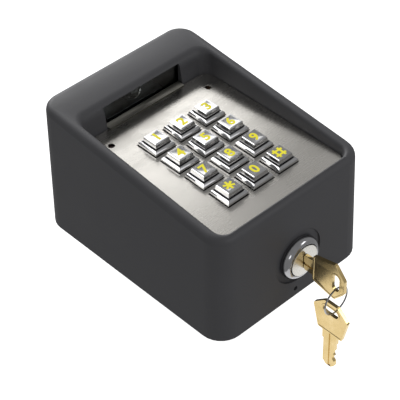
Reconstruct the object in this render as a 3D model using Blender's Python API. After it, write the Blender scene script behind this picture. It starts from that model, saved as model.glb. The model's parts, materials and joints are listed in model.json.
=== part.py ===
"""Outdoor keypad access reader: a cast box with a sloping hooded rim, a steel faceplate with twelve
metal keys, a cam lock with its keys, and the boards inside. Metres, +Z up.

The reader lies on its back. The origin is the middle of the back face, X runs across it, +Y points
to the hood end and the lock wall faces -Y."""

import math

import bmesh
import bpy
from mathutils import Matrix, Vector

MM = 0.001
GAP = 0.3 * MM  # between pieces that touch

# Housing
WIDTH = 106.6 * MM
LENGTH = 139.7 * MM
HEIGHT_AT_LOCK = 67.6 * MM
HEIGHT_AT_HOOD = 80.9 * MM
CORNER_RADIUS = 12.8 * MM
DRAFT = 0.022  # lean of the walls, per unit of height
WALL = 3.3 * MM
RIM_SIDE = 7.0 * MM
RIM_FRONT = 4.9 * MM
HOOD_DEPTH = 27.0 * MM
HOOD_FACE_LEAN = 1.7 * MM
OUTER_EDGE_RADIUS = 3.5 * MM
INNER_EDGE_RADIUS = 2.0 * MM
HOOD_EDGE_RADIUS = 5.5 * MM
RECESS_CORNER = 6.0 * MM
RECESS_LEAN = 0.7 * MM
LEDGE_WIDTH = 6.0 * MM
LEDGE_THICK = 3.0 * MM
CORNER_STEPS = 7
DRAIN_X, DRAIN_Z, DRAIN_RADIUS = 1.2 * MM, 4.7 * MM, 1.4 * MM

# Faceplate and keys
PLATE_DROP = 3.5 * MM  # faceplate below the rim at the lock end
PLATE_THICK = 1.5 * MM
KEY_PITCH = 17.85 * MM
KEYPAD_SHIFT = -2.7 * MM  # from the middle of the recess, towards the lock
COLLAR_HALF = 6.93 * MM
COLLAR_SHOULDER = 1.6 * MM
COLLAR_HEIGHT = 2.8 * MM
COLLAR_RIM = 0.35 * MM
COLLAR_HOLE_GAP = 0.45 * MM
CAP_HALF = 5.1 * MM
CAP_TOP_HALF = 4.65 * MM
CAP_EDGE = 0.4 * MM
CAP_HEIGHT = 6.0 * MM
CAP_GAP = 0.5 * MM
KEY_TRAVEL = 1.2 * MM
FLANGE_OVERHANG = 0.9 * MM
FLANGE_THICK = 1.0 * MM
SHEET_THICK = 1.6 * MM
SHEET_MARGIN = 3.5 * MM
MAT_THICK = 1.5 * MM
DOME_HEIGHT = 4.1 * MM
DOME_RADIUS = 4.4 * MM
BOARD_THICK = 1.6 * MM
BOARD_SPACING = 8.8 * MM  # between the keypad board and the main board
LED_RADIUS = 1.5 * MM
LED_INSET_X, LED_INSET_Y = 9.5 * MM, 11.7 * MM  # from the recess walls

# Courtesy light in the hood
WINDOW_HALF = 27.0 * MM
WINDOW_SILL = 0.2 * MM  # below the top of the faceplate
HOOD_ROOF = 1.9 * MM  # from the rim down to the top of the lamp chamber
CHAMBER_SIDE = 9.0 * MM
LENS_THICK = 1.5 * MM
BULB_RADIUS = 4.5 * MM
SOCKET_RADIUS = 6.6 * MM
DEFLECTOR_HALF = 26.5 * MM
DEFLECTOR_THICK = 0.6 * MM
DEFLECTOR_RISE = 0.6 * MM
LAMP_HEIGHT = 4.9 * MM  # above the faceplate

# Lock
LOCK_X, LOCK_Z = 3.0 * MM, 26.5 * MM
SPOT_FACE_MARGIN, SPOT_FACE_DEPTH = 3.6 * MM, 0.9 * MM
BEZEL_OVERHANG = 1.7 * MM
DOME_PROUD = 4.9 * MM
BARREL_RADIUS = 11.0 * MM
BARREL_LENGTH = 15.4 * MM
PLUG_FACE_RADIUS = 9.2 * MM
PLUG_RADIUS = 7.0 * MM
PLUG_PROUD = 5.3 * MM
STUD_RADIUS, STUD_LENGTH = 3.6 * MM, 7.0 * MM
RUN_GAP = 0.3 * MM
CAM_LENGTH, CAM_HALF, CAM_THICK = 19.0 * MM, 4.0 * MM, 2.0 * MM
LOCK_NUT_WALL, LOCK_NUT_THICK = 2.2 * MM, 3.8 * MM

# Keys of the lock
BLADE_THICK, BLADE_WIDTH, NECK_WIDTH = 2.0 * MM, 8.0 * MM, 9.8 * MM
NECK_LENGTH, BLADE_LENGTH = 6.4 * MM, 24.5 * MM
BOW_ROOT, BOW_WIDE, BOW_END = 16.8 * MM, 23.8 * MM, 9.0 * MM
BOW_FLARE, BOW_LENGTH = 15.2 * MM, 21.6 * MM
BOW_HOLE_FROM_END, BOW_HOLE_RADIUS, BOW_HOLE_LONG = 5.7 * MM, 2.4 * MM, 5.4 * MM
RING_RADIUS, RING_WIRE = 8.3 * MM, 0.55 * MM
RING_REST = 0.4 * MM
SPARE_SHIFT = 2.6 * MM  # the spare hangs with the ring towards the outer end of its hole

# Back plate and what stands on it
GASKET_THICK = 1.5 * MM
BACK_PLATE_THICK = 2.0 * MM
BACK_PLATE_GAP = 1.2 * MM
WIRE_HOLE_Y, WIRE_HOLE_RADIUS = 22.0 * MM, 11.0 * MM
SCREW_HOLE_RADIUS, SCREW_HOLE_INSET = 2.3 * MM, 14.0 * MM
HOOK_X, HOOK_HALF, HOOK_THICK = 30.0 * MM, 6.0 * MM, 1.2 * MM
HOOK_HEIGHT, HOOK_REACH, HOOK_PLAY = 7.6 * MM, 1.2 * MM, 1.0 * MM
CATCH_FROM_AXIS, CATCH_DEPTH, CATCH_THICK = 12.5 * MM, 8.0 * MM, 2.0 * MM
CATCH_LIP, CATCH_FOOT, CATCH_PLAY = 8.7 * MM, 10.0 * MM, 0.7 * MM

# Main board
MAIN_MARGIN = 3.6 * MM
STANDOFF_RADIUS, STANDOFF_INSET = 3.0 * MM, 4.0 * MM
BOARD_SCREW_RADIUS, BOARD_SCREW_HEAD = 1.3 * MM, 2.2 * MM
RELAY_SIZE = (15.6 * MM, 20.0 * MM, 15.4 * MM)
TERMINAL_SIZE = (50.0 * MM, 10.0 * MM, 12.0 * MM)
HEADER_SIZE = (20.0 * MM, 5.0 * MM)
BUZZER_RADIUS, BUZZER_HEIGHT = 6.0 * MM, 9.5 * MM
SWITCH_SIZE = (10.0 * MM, 20.0 * MM, 8.0 * MM)
PLUNGER_RADIUS, PLUNGER_TRAVEL = 2.5 * MM, 1.5 * MM

KEY_ROWS = (("1", "2", "3"), ("4", "5", "6"), ("7", "8", "9"), ("star", "0", "hash"))

# Heights and lengths that follow
PLATE_TOP = HEIGHT_AT_LOCK - PLATE_DROP
LEDGE_TOP = PLATE_TOP - PLATE_THICK - GAP
LEDGE_UNDER = LEDGE_TOP - LEDGE_THICK
SHEET_TOP = PLATE_TOP - PLATE_THICK - GAP
SHEET_UNDER = SHEET_TOP - SHEET_THICK
FLANGE_TOP = SHEET_UNDER - GAP
FLANGE_UNDER = FLANGE_TOP - FLANGE_THICK
DOME_TOP = FLANGE_UNDER - KEY_TRAVEL - GAP
MAT_TOP = DOME_TOP - DOME_HEIGHT
MAT_UNDER = MAT_TOP - MAT_THICK
KEYPAD_BOARD_TOP = MAT_UNDER - GAP
MAIN_TOP = KEYPAD_BOARD_TOP - BOARD_THICK - BOARD_SPACING
MAIN_UNDER = MAIN_TOP - BOARD_THICK
PARTS_TOP = MAIN_UNDER - GAP
BACK_PLATE_TOP = GASKET_THICK + GAP + BACK_PLATE_THICK

HALF_X, HALF_Y = WIDTH / 2, LENGTH / 2


def rim(y):
    """Height of the sloping rim at y."""
    return HEIGHT_AT_LOCK + (HEIGHT_AT_HOOD - HEIGHT_AT_LOCK) * (y + HALF_Y) / LENGTH


RECESS_X = HALF_X - DRAFT * HEIGHT_AT_HOOD - RIM_SIDE - RECESS_LEAN + 0.5 * MM
RECESS_FRONT = -HALF_Y + DRAFT * HEIGHT_AT_LOCK + RIM_FRONT + 0.2 * MM
RECESS_BACK = HALF_Y - HOOD_DEPTH - HOOD_FACE_LEAN + 0.2 * MM
KEYPAD_Y = (RECESS_FRONT + RECESS_BACK) / 2 + KEYPAD_SHIFT
CAVITY_X, CAVITY_Y = HALF_X - WALL, HALF_Y - WALL
CHAMBER_FRONT = RECESS_BACK + HOOD_FACE_LEAN + 2.0 * MM
CHAMBER_BACK = HALF_Y - DRAFT * HEIGHT_AT_HOOD - 1.6 * WALL
CHAMBER_X = CAVITY_X - CHAMBER_SIDE
CHAMBER_TOP = rim(CHAMBER_FRONT) - HOOD_ROOF
WINDOW_TOP = CHAMBER_TOP - 0.2 * MM
LAMP_Z = PLATE_TOP + LAMP_HEIGHT
LENS_HALF = WINDOW_HALF + 1.5 * MM
FLANGE_RADIUS = BARREL_RADIUS + BEZEL_OVERHANG
SPOT_FACE_RADIUS = FLANGE_RADIUS + SPOT_FACE_MARGIN
LOCK_NUT_HALF = BARREL_RADIUS + GAP + LOCK_NUT_WALL
SPOT_FACE_Y = -HALF_Y + DRAFT * LOCK_Z + SPOT_FACE_DEPTH
FLANGE_Y = SPOT_FACE_Y - GAP
BARREL_END = FLANGE_Y + BARREL_LENGTH
PLUG_FACE_Y = FLANGE_Y - PLUG_PROUD
BOW_Y = PLUG_FACE_Y - NECK_LENGTH
BOW_HOLE_Y = BOW_Y - BOW_LENGTH + BOW_HOLE_FROM_END
COLLAR_OPENING = CAP_HALF + CAP_GAP
SHEET_X = KEY_PITCH + COLLAR_HALF + SHEET_MARGIN
SHEET_Y = 1.5 * KEY_PITCH + COLLAR_HALF + SHEET_MARGIN
LED_X, LED_Y = RECESS_X - LED_INSET_X, RECESS_BACK - LED_INSET_Y
CAM_Y = BARREL_END + GAP
CAM_NUT_Y = CAM_Y + CAM_THICK + GAP
MAIN_FRONT = BARREL_END + STUD_LENGTH + 2.0 * MM


# Making solids


def clear_scene():
    for old in list(bpy.data.objects):
        bpy.data.objects.remove(old)


def material(name, colour, roughness, metallic=0.0):
    made = bpy.data.materials.new(name)
    made.use_nodes = True
    shader = made.node_tree.nodes["Principled BSDF"]
    shader.inputs["Base Color"].default_value = (*colour, 1.0)
    shader.inputs["Roughness"].default_value = roughness
    shader.inputs["Metallic"].default_value = metallic
    return made


def solid(name, shape, finish=None, origin=(0.0, 0.0, 0.0)):
    """An object whose mesh is this bmesh, with its own origin on a joint's axis where it has one."""
    bmesh.ops.recalc_face_normals(shape, faces=shape.faces)
    shape.transform(Matrix.Translation(-Vector(origin)))
    mesh = bpy.data.meshes.new(name)
    shape.to_mesh(mesh)
    shape.free()
    mesh.shade_smooth()
    mesh.set_sharp_from_angle(angle=math.radians(35))
    made = bpy.data.objects.new(name, mesh)
    made.location = origin
    bpy.context.scene.collection.objects.link(made)
    if finish:
        mesh.materials.append(finish)
    return made


def combine(target, tool, operation):
    """A Boolean whose tool is only a helper."""
    tool.hide_render = True
    tool.display_type = "WIRE"
    step = target.modifiers.new(tool.name, "BOOLEAN")
    step.operation = operation
    step.solver = "EXACT"
    step.object = tool


def rounded_outline(half_x, y_low, y_high, radius, steps=CORNER_STEPS):
    """Points of a rounded rectangle, anticlockwise, each with its outward normal."""
    corners = ((half_x, y_high, 0), (-half_x, y_high, 90), (-half_x, y_low, 180), (half_x, y_low, 270))
    points = []
    for x, y, start in corners:
        middle = Vector((math.copysign(abs(x) - radius, x), y - radius if y == y_high else y + radius))
        for step in range(steps + 1):
            angle = math.radians(start + 90 * step / steps)
            normal = Vector((math.cos(angle), math.sin(angle)))
            points.append((middle + radius * normal, normal))
    return points


def level(outline, z, inset=0.0):
    return [(*(point - normal * inset), z) for point, normal in outline]


def add_loft(shape, rings, closed=False):
    """Skins rings of equal point counts; the ends are capped, or joined where it is closed."""
    rows = [[shape.verts.new(point) for point in ring] for ring in rings]
    count = len(rows[0])
    pairs = list(zip(rows, rows[1:]))
    if closed:
        pairs.append((rows[-1], rows[0]))
    else:
        shape.faces.new(rows[0])
        shape.faces.new(rows[-1])
    for low, high in pairs:
        for i in range(count):
            j = (i + 1) % count
            shape.faces.new((low[i], low[j], high[j], high[i]))


def loft(rings, closed=False):
    shape = bmesh.new()
    add_loft(shape, rings, closed)
    return shape


def square(half, centre=(0.0, 0.0)):
    x, y = centre
    return [(x + half, y + half), (x - half, y + half), (x - half, y - half), (x + half, y - half)]


def add_tower(shape, centre, levels):
    """A stack of squares about centre, from (half side, z) pairs."""
    add_loft(shape, [[(x, y, z) for x, y in square(half, centre)] for half, z in levels])


def box(low, high):
    shape = bmesh.new()
    add_box(shape, low, high)
    return shape


def add_box(shape, low, high):
    (x0, y0, z0), (x1, y1, z1) = low, high
    ring = ((x0, y0), (x1, y0), (x1, y1), (x0, y1))
    add_loft(shape, [[(x, y, z) for x, y in ring] for z in (z0, z1)])


def on_axis(axis, centre):
    """Turns a shape made along Z to lie along X, Y or Z, through centre."""
    turns = {
        "X": Matrix.Rotation(math.radians(90), 4, "Y"),
        "Y": Matrix.Rotation(math.radians(-90), 4, "X"),
        "Z": Matrix.Identity(4),
    }
    return Matrix.Translation(Vector(centre)) @ turns[axis]


def add_turned(shape, profile, axis, centre, steps=24, start=0.0):
    """A profile of (radius, distance along the axis), spun round the axis."""
    place = on_axis(axis, centre)
    profile_verts = [shape.verts.new((radius, 0.0, along)) for radius, along in profile]
    edges = [shape.edges.new(pair) for pair in zip(profile_verts, profile_verts[1:])]
    if profile[0][0] > 0:
        edges.append(shape.edges.new((profile_verts[-1], profile_verts[0])))
    bmesh.ops.rotate(shape, verts=profile_verts, matrix=Matrix.Rotation(start, 3, "Z"))
    before = set(shape.verts) - set(profile_verts)
    bmesh.ops.spin(
        shape,
        geom=profile_verts + edges,
        axis=(0, 0, 1),
        angle=2 * math.pi,
        steps=steps,
        use_merge=True,
    )
    made = [vert for vert in shape.verts if vert not in before]
    bmesh.ops.remove_doubles(shape, verts=made, dist=1e-6)
    made = [vert for vert in shape.verts if vert not in before]
    bmesh.ops.transform(shape, matrix=place, verts=made)


def turned(profile, axis, centre, steps=24, start=0.0):
    shape = bmesh.new()
    add_turned(shape, profile, axis, centre, steps, start)
    return shape


def rod(radius, low, high):
    return [(0.0, low), (radius, low), (radius, high), (0.0, high)]


def tube(radius, bore, low, high):
    return [(bore, low), (radius, low), (radius, high), (bore, high)]


def hexagon_tube(half_flat, bore, low, high, axis, centre):
    """A hexagon nut: a six-sided outside with a round bore."""
    sides, per_side = 6, 4
    place = on_axis(axis, centre)
    outer, inner = [], []
    for side in range(sides):
        a = Vector((math.cos(math.tau * side / sides), math.sin(math.tau * side / sides)))
        b = Vector((math.cos(math.tau * (side + 1) / sides), math.sin(math.tau * (side + 1) / sides)))
        for part in range(per_side):
            along = a.lerp(b, part / per_side)
            outer.append(along * half_flat / math.cos(math.pi / sides))
            inner.append(along.normalized() * bore)
    order = ((outer, low), (outer, high), (inner, high), (inner, low))
    shape = loft([[(*p, z) for p in ring] for ring, z in order], closed=True)
    bmesh.ops.transform(shape, matrix=place, verts=shape.verts)
    return shape


def extruded(outline, low, high, axis, centre):
    """A flat outline (u, v), extruded along an axis. Along X, u is Y and v is Z; along Y, X and Z."""
    frames = {
        "X": Matrix(((0, 0, 1, 0), (1, 0, 0, 0), (0, 1, 0, 0), (0, 0, 0, 1))),
        "Y": Matrix(((1, 0, 0, 0), (0, 0, 1, 0), (0, 1, 0, 0), (0, 0, 0, 1))),
    }
    shape = loft([[(u, v, z) for u, v in outline] for z in (low, high)])
    place = Matrix.Translation(Vector(centre)) @ frames[axis]
    bmesh.ops.transform(shape, matrix=place, verts=shape.verts)
    return shape


# Housing


def recess_top_outline():
    return rounded_outline(
        RECESS_X + RECESS_LEAN, RECESS_FRONT - 0.2 * MM, RECESS_BACK + HOOD_FACE_LEAN, RECESS_CORNER
    )


def recess_outline(clearance=0.0):
    return rounded_outline(
        RECESS_X - clearance, RECESS_FRONT + clearance, RECESS_BACK - clearance, RECESS_CORNER - clearance
    )


def ledge_outline():
    return rounded_outline(
        RECESS_X - LEDGE_WIDTH, RECESS_FRONT + LEDGE_WIDTH, RECESS_BACK - LEDGE_WIDTH, RECESS_CORNER
    )


def outer_edge_rings(steps=4):
    """The outer wall's top edge, rounded over on to the sloping rim."""
    outline = rounded_outline(HALF_X, -HALF_Y, HALF_Y, CORNER_RADIUS)
    rings = []
    for step in range(steps + 1):
        angle = math.pi / 2 * step / steps
        ring = []
        for point, normal in outline:
            z = rim(point.y) - OUTER_EDGE_RADIUS * (1 - math.sin(angle))
            moved = point - normal * (DRAFT * z + OUTER_EDGE_RADIUS * (1 - math.cos(angle)))
            z = rim(moved.y) - OUTER_EDGE_RADIUS * (1 - math.sin(angle))
            ring.append((*moved, z))
        rings.append(ring)
    return rings


def inner_edge_rings(steps=4):
    """The rim's inner edge: small round on three sides, and a large one on the hood."""
    rings = []
    for step in range(steps + 1):
        angle = math.pi / 2 * step / steps
        ring = []
        for point, normal in recess_top_outline():
            hood_share = max(0.0, normal.y) ** 2
            radius = INNER_EDGE_RADIUS + (HOOD_EDGE_RADIUS - INNER_EDGE_RADIUS) * hood_share
            moved = point + normal * radius * (1 - math.sin(angle))
            ring.append((*moved, rim(moved.y) - radius * (1 - math.cos(angle))))
        rings.append(ring)
    return rings


def housing(finish):
    outside = rounded_outline(HALF_X, -HALF_Y, HALF_Y, CORNER_RADIUS)
    cavity = rounded_outline(CAVITY_X, -CAVITY_Y, CAVITY_Y, CORNER_RADIUS - WALL)
    rings = [level(outside, 0.0)]
    rings += outer_edge_rings()
    rings += inner_edge_rings()
    rings += [level(recess_outline(), LEDGE_TOP), level(ledge_outline(), LEDGE_TOP)]
    rings += [level(ledge_outline(), LEDGE_UNDER)]
    rings += [level(cavity, LEDGE_UNDER, DRAFT * LEDGE_UNDER), level(cavity, 0.0)]
    made = solid("housing", loft(rings, closed=True), finish)
    chamber = box(
        (-CHAMBER_X, CHAMBER_FRONT, LEDGE_UNDER - 4 * MM), (CHAMBER_X, CHAMBER_BACK, CHAMBER_TOP)
    )
    combine(made, solid("cut_chamber", chamber), "DIFFERENCE")
    window = box(
        (-WINDOW_HALF, RECESS_BACK - 5 * MM, PLATE_TOP - WINDOW_SILL),
        (WINDOW_HALF, CHAMBER_FRONT + 1 * MM, WINDOW_TOP),
    )
    combine(made, solid("cut_window", window), "DIFFERENCE")
    centre = (LOCK_X, 0.0, LOCK_Z)
    front, inside = -HALF_Y - 5 * MM, -HALF_Y + 2.5 * WALL
    hole = BARREL_RADIUS + GAP
    stepped = [(0.0, front), (SPOT_FACE_RADIUS, front), (SPOT_FACE_RADIUS, SPOT_FACE_Y)]
    stepped += [(hole, SPOT_FACE_Y), (hole, inside), (0.0, inside)]
    combine(made, solid("cut_lock_hole", turned(stepped, "Y", centre, 40)), "DIFFERENCE")
    drain = turned(
        rod(DRAIN_RADIUS, -HALF_Y - 5 * MM, -HALF_Y + 2 * WALL), "Y", (DRAIN_X, 0.0, DRAIN_Z), 12
    )
    combine(made, solid("cut_drain", drain), "DIFFERENCE")
    pockets = bmesh.new()
    for side in (-1, 1):
        half = HOOK_HALF + HOOK_PLAY
        low = BACK_PLATE_TOP + HOOK_HEIGHT - HOOK_THICK - 2 * HOOK_PLAY
        high = BACK_PLATE_TOP + HOOK_HEIGHT + HOOK_PLAY
        add_box(
            pockets,
            (side * HOOK_X - half, CAVITY_Y - 5 * MM, low),
            (side * HOOK_X + half, CAVITY_Y + HOOK_REACH + HOOK_PLAY / 2, high),
        )
    combine(made, solid("cut_hook_pockets", pockets), "DIFFERENCE")
    return made


# Faceplate, keypad and boards


def key_places():
    """Each key's name and centre, row by row from the hood."""
    for row, names in enumerate(KEY_ROWS):
        for column, name in enumerate(names):
            yield name, ((column - 1) * KEY_PITCH, KEYPAD_Y + (1.5 - row) * KEY_PITCH)


def faceplate(finish):
    outline = recess_outline(GAP)
    sheet = loft([level(outline, PLATE_TOP - PLATE_THICK), level(outline, PLATE_TOP)])
    made = solid("faceplate", sheet, finish)
    holes = bmesh.new()
    low, high = PLATE_TOP - PLATE_THICK - 2 * MM, PLATE_TOP + 2 * MM
    half = COLLAR_HALF + COLLAR_HOLE_GAP
    for _, centre in key_places():
        add_tower(holes, centre, ((half, low), (half, high)))
    for side in (-1, 1):
        add_turned(holes, rod(LED_RADIUS + GAP, low, high), "Z", (side * LED_X, LED_Y, 0.0), 16)
    combine(made, solid("cut_faceplate_holes", holes), "DIFFERENCE")
    return made


def lamp_deflector(finish):
    """A folded strip that throws the courtesy light on to the keys."""
    foot, heel, tip = RECESS_BACK - 2.6 * MM, RECESS_BACK - 1.4 * MM, CHAMBER_FRONT - 0.6 * MM
    low = PLATE_TOP + GAP
    outline = (
        (foot, low),
        (heel, low),
        (tip, low + DEFLECTOR_RISE),
        (tip, low + DEFLECTOR_RISE + DEFLECTOR_THICK),
        (heel, low + DEFLECTOR_THICK),
        (foot, low + DEFLECTOR_THICK),
    )
    return solid(
        "lamp_deflector", extruded(outline, -DEFLECTOR_HALF, DEFLECTOR_HALF, "X", (0, 0, 0)), finish
    )


def post_places():
    x, y = SHEET_X - 2.1 * MM, SHEET_Y - 2.1 * MM
    return [(i * x, KEYPAD_Y + j * y) for i in (-1, 1) for j in (-1, 1)]


def keypad_frame(finish):
    """The cast frame: twelve collars on one sheet, with four legs that stand on the keypad board."""
    made = solid(
        "keypad_frame",
        box(
            (-SHEET_X, KEYPAD_Y - SHEET_Y, SHEET_UNDER),
            (SHEET_X, KEYPAD_Y + SHEET_Y, SHEET_TOP),
        ),
        finish,
    )
    root = SHEET_TOP - SHEET_THICK / 2
    added = bmesh.new()
    for _, centre in key_places():
        add_tower(
            added,
            centre,
            (
                (COLLAR_HALF, root),
                (COLLAR_HALF, PLATE_TOP + COLLAR_SHOULDER),
                (COLLAR_OPENING + COLLAR_RIM, PLATE_TOP + COLLAR_HEIGHT),
            ),
        )
    for x, y in post_places():
        add_turned(added, rod(1.7 * MM, KEYPAD_BOARD_TOP + GAP, root), "Z", (x, y, 0.0), 12)
    combine(made, solid("add_collars", added), "UNION")
    holes = bmesh.new()
    for _, centre in key_places():
        add_tower(
            holes,
            centre,
            ((COLLAR_OPENING, SHEET_UNDER - 2 * MM), (COLLAR_OPENING, PLATE_TOP + COLLAR_HEIGHT + 2 * MM)),
        )
    combine(made, solid("cut_collar_holes", holes), "DIFFERENCE")
    return made


def push_key(name, centre, finish):
    """One key: a flange held under the frame, a square shank, and a cap with a sloping side."""
    flange = COLLAR_OPENING + FLANGE_OVERHANG
    shape = bmesh.new()
    add_tower(
        shape,
        centre,
        (
            (flange, FLANGE_UNDER),
            (flange, FLANGE_TOP),
            (CAP_HALF, FLANGE_TOP),
            (CAP_HALF, PLATE_TOP + COLLAR_HEIGHT),
            (CAP_TOP_HALF, PLATE_TOP + CAP_HEIGHT - CAP_EDGE),
            (CAP_TOP_HALF - CAP_EDGE, PLATE_TOP + CAP_HEIGHT),
        ),
    )
    return solid("key_" + name, shape, finish, (*centre, PLATE_TOP))


def switch_mat(finish):
    """The rubber mat under the keys, its domes drawn at their pressed height."""
    half_x = KEY_PITCH + DOME_RADIUS + 0.3 * MM
    half_y = 1.5 * KEY_PITCH + DOME_RADIUS + 2.0 * MM
    made = solid(
        "switch_mat",
        box((-half_x, KEYPAD_Y - half_y, MAT_UNDER), (half_x, KEYPAD_Y + half_y, MAT_TOP)),
        finish,
    )
    domes = bmesh.new()
    top_radius = DOME_RADIUS - 1.4 * MM
    profile = [(0.0, -MAT_THICK / 2), (DOME_RADIUS, -MAT_THICK / 2), (DOME_RADIUS, 0.6 * MM)]
    profile += [(top_radius, DOME_HEIGHT), (0.0, DOME_HEIGHT)]
    for _, (x, y) in key_places():
        add_turned(domes, profile, "Z", (x, y, MAT_TOP), 12)
    combine(made, solid("add_domes", domes), "UNION")
    return made


def keypad_board(finish):
    half_x = RECESS_X - LEDGE_WIDTH - 1.2 * MM
    low, high = RECESS_FRONT + LEDGE_WIDTH + 1.2 * MM, RECESS_BACK - LEDGE_WIDTH - 1.2 * MM
    return solid(
        "keypad_board",
        box((-half_x, low, KEYPAD_BOARD_TOP - BOARD_THICK), (half_x, high, KEYPAD_BOARD_TOP)),
        finish,
    )


def indicator(name, x, finish):
    """An indicator lamp whose dome stands in its faceplate hole."""
    top = PLATE_TOP - 0.4 * MM
    body_top = top - LED_RADIUS
    arc = [
        (LED_RADIUS * math.cos(a), body_top + LED_RADIUS * math.sin(a))
        for a in (math.radians(15 * step) for step in range(6))
    ]
    low = KEYPAD_BOARD_TOP + GAP
    profile = [(0.0, low), (1.9 * MM, low), (1.9 * MM, low + 1.0 * MM), (LED_RADIUS, low + 1.0 * MM)]
    return solid(name, turned(profile + arc + [(0.0, top)], "Z", (x, LED_Y, 0.0), 16), finish)


# Courtesy light


def courtesy_light(clear, lamp_glass, dark, bare_metal):
    sill = PLATE_TOP - WINDOW_SILL
    lens = box(
        (-LENS_HALF, CHAMBER_FRONT + GAP, sill - 1.0 * MM),
        (LENS_HALF, CHAMBER_FRONT + GAP + LENS_THICK, CHAMBER_TOP - GAP),
    )
    solid("lamp_window", lens, clear)
    back = CHAMBER_BACK - GAP
    bracket = (
        (CHAMBER_FRONT + 6 * MM, LEDGE_UNDER + 0.5 * MM),
        (back, LEDGE_UNDER + 0.5 * MM),
        (back, CHAMBER_TOP - 1.0 * MM),
        (back - 1.5 * MM, CHAMBER_TOP - 1.0 * MM),
        (back - 1.5 * MM, LEDGE_UNDER + 2.0 * MM),
        (CHAMBER_FRONT + 6 * MM, LEDGE_UNDER + 2.0 * MM),
    )
    solid("lamp_bracket", extruded(bracket, -20 * MM, 20 * MM, "X", (0, 0, 0)), bare_metal)
    socket_back = back - 1.5 * MM - GAP
    socket_front = socket_back - 7.0 * MM
    bore = BULB_RADIUS + GAP
    profile = [(0.0, socket_back), (SOCKET_RADIUS, socket_back), (SOCKET_RADIUS, socket_front)]
    profile += [(bore, socket_front), (bore, socket_back - 2 * MM), (0.0, socket_back - 2 * MM)]
    solid("lamp_socket", turned(profile[::-1], "Y", (0.0, 0.0, LAMP_Z), 20), dark)
    base = socket_back - 2 * MM - GAP
    nose = CHAMBER_FRONT + GAP + LENS_THICK + 1.2 * MM
    dome = [
        (BULB_RADIUS * math.sin(a), nose + BULB_RADIUS * (1 - math.cos(a)))
        for a in (math.radians(15 * step) for step in range(7))
    ]
    bulb = dome + [(BULB_RADIUS, base), (0.0, base)]
    solid("lamp_bulb", turned(bulb, "Y", (0.0, 0.0, LAMP_Z), 20), lamp_glass)


# Lock


def lock_body(finish):
    """Domed bezel and barrel in one turning, with the bore for the plug."""
    shoulder = FLANGE_Y - 0.8 * MM
    mouth = PLUG_FACE_RADIUS + RUN_GAP
    front = FLANGE_Y - DOME_PROUD
    seat = FLANGE_Y - 0.6 * MM
    dome = []
    for step in range(7):
        angle = math.radians(15 * step)
        radius = mouth + 0.2 * MM + (FLANGE_RADIUS - mouth - 0.2 * MM) * math.cos(angle)
        dome.append((radius, shoulder + (front - shoulder) * math.sin(angle)))
    profile = [(mouth, front + 0.3 * MM), (mouth, seat), (PLUG_RADIUS + RUN_GAP, seat)]
    profile += [(PLUG_RADIUS + RUN_GAP, BARREL_END), (BARREL_RADIUS, BARREL_END)]
    profile += [(BARREL_RADIUS, FLANGE_Y), (FLANGE_RADIUS, FLANGE_Y)]
    profile += dome
    return solid("lock_body", turned(profile, "Y", (LOCK_X, 0.0, LOCK_Z), 40), finish)


def lock_plug(finish):
    seat = FLANGE_Y - 0.6 * MM - GAP
    end = BARREL_END + STUD_LENGTH
    profile = [(0.0, PLUG_FACE_Y), (PLUG_FACE_RADIUS, PLUG_FACE_Y), (PLUG_FACE_RADIUS, seat)]
    profile += [(PLUG_RADIUS, seat), (PLUG_RADIUS, BARREL_END - GAP), (STUD_RADIUS, BARREL_END - GAP)]
    profile += [(STUD_RADIUS, end), (0.0, end)]
    origin = (LOCK_X, PLUG_FACE_Y, LOCK_Z)
    made = solid("lock_plug", turned(profile, "Y", (LOCK_X, 0.0, LOCK_Z), 32), finish, origin)
    half_x, half_z = BLADE_THICK / 2 + GAP, BLADE_WIDTH / 2 + GAP
    blade_end = BOW_Y + BLADE_LENGTH + 1.0 * MM
    slot = box(
        (LOCK_X - half_x, PLUG_FACE_Y - 3 * MM, LOCK_Z - half_z),
        (LOCK_X + half_x, blade_end, LOCK_Z + half_z),
    )
    combine(made, solid("cut_keyway", slot), "DIFFERENCE")
    return made


def lock_nut(finish):
    start = -CAVITY_Y + DRAFT * (LOCK_Z + LOCK_NUT_HALF * 1.2) + GAP
    shape = hexagon_tube(
        LOCK_NUT_HALF, BARREL_RADIUS + GAP, start, start + LOCK_NUT_THICK, "Y", (LOCK_X, 0.0, LOCK_Z)
    )
    return solid("lock_nut", shape, finish)


def lock_cam(finish):
    """The cam hangs straight down when the key stands upright, and swings under the catch."""
    hub = STUD_RADIUS + 3.6 * MM
    outline = []
    for step in range(13):
        angle = math.radians(-20 + 220 * step / 12)
        outline.append((hub * math.cos(angle), hub * math.sin(angle)))
    for step in range(5):
        angle = math.radians(180 + 180 * step / 4)
        outline.append(
            (CAM_HALF * math.cos(angle), -CAM_LENGTH + CAM_HALF + CAM_HALF * math.sin(angle))
        )
    shape = extruded(outline, CAM_Y, CAM_Y + CAM_THICK, "Y", (LOCK_X, 0.0, LOCK_Z))
    origin = (LOCK_X, CAM_Y, LOCK_Z)
    made = solid("lock_cam", shape, finish, origin)
    hole = turned(rod(STUD_RADIUS + GAP, CAM_Y - 2 * MM, CAM_Y + 5 * MM), "Y", (LOCK_X, 0.0, LOCK_Z), 20)
    combine(made, solid("cut_cam_hole", hole), "DIFFERENCE")
    return made


def cam_nut(finish):
    shape = hexagon_tube(
        5.5 * MM, STUD_RADIUS + GAP, CAM_NUT_Y, CAM_NUT_Y + 3.2 * MM, "Y", (LOCK_X, 0.0, LOCK_Z)
    )
    return solid("cam_nut", shape, finish, (LOCK_X, CAM_NUT_Y, LOCK_Z))


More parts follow.
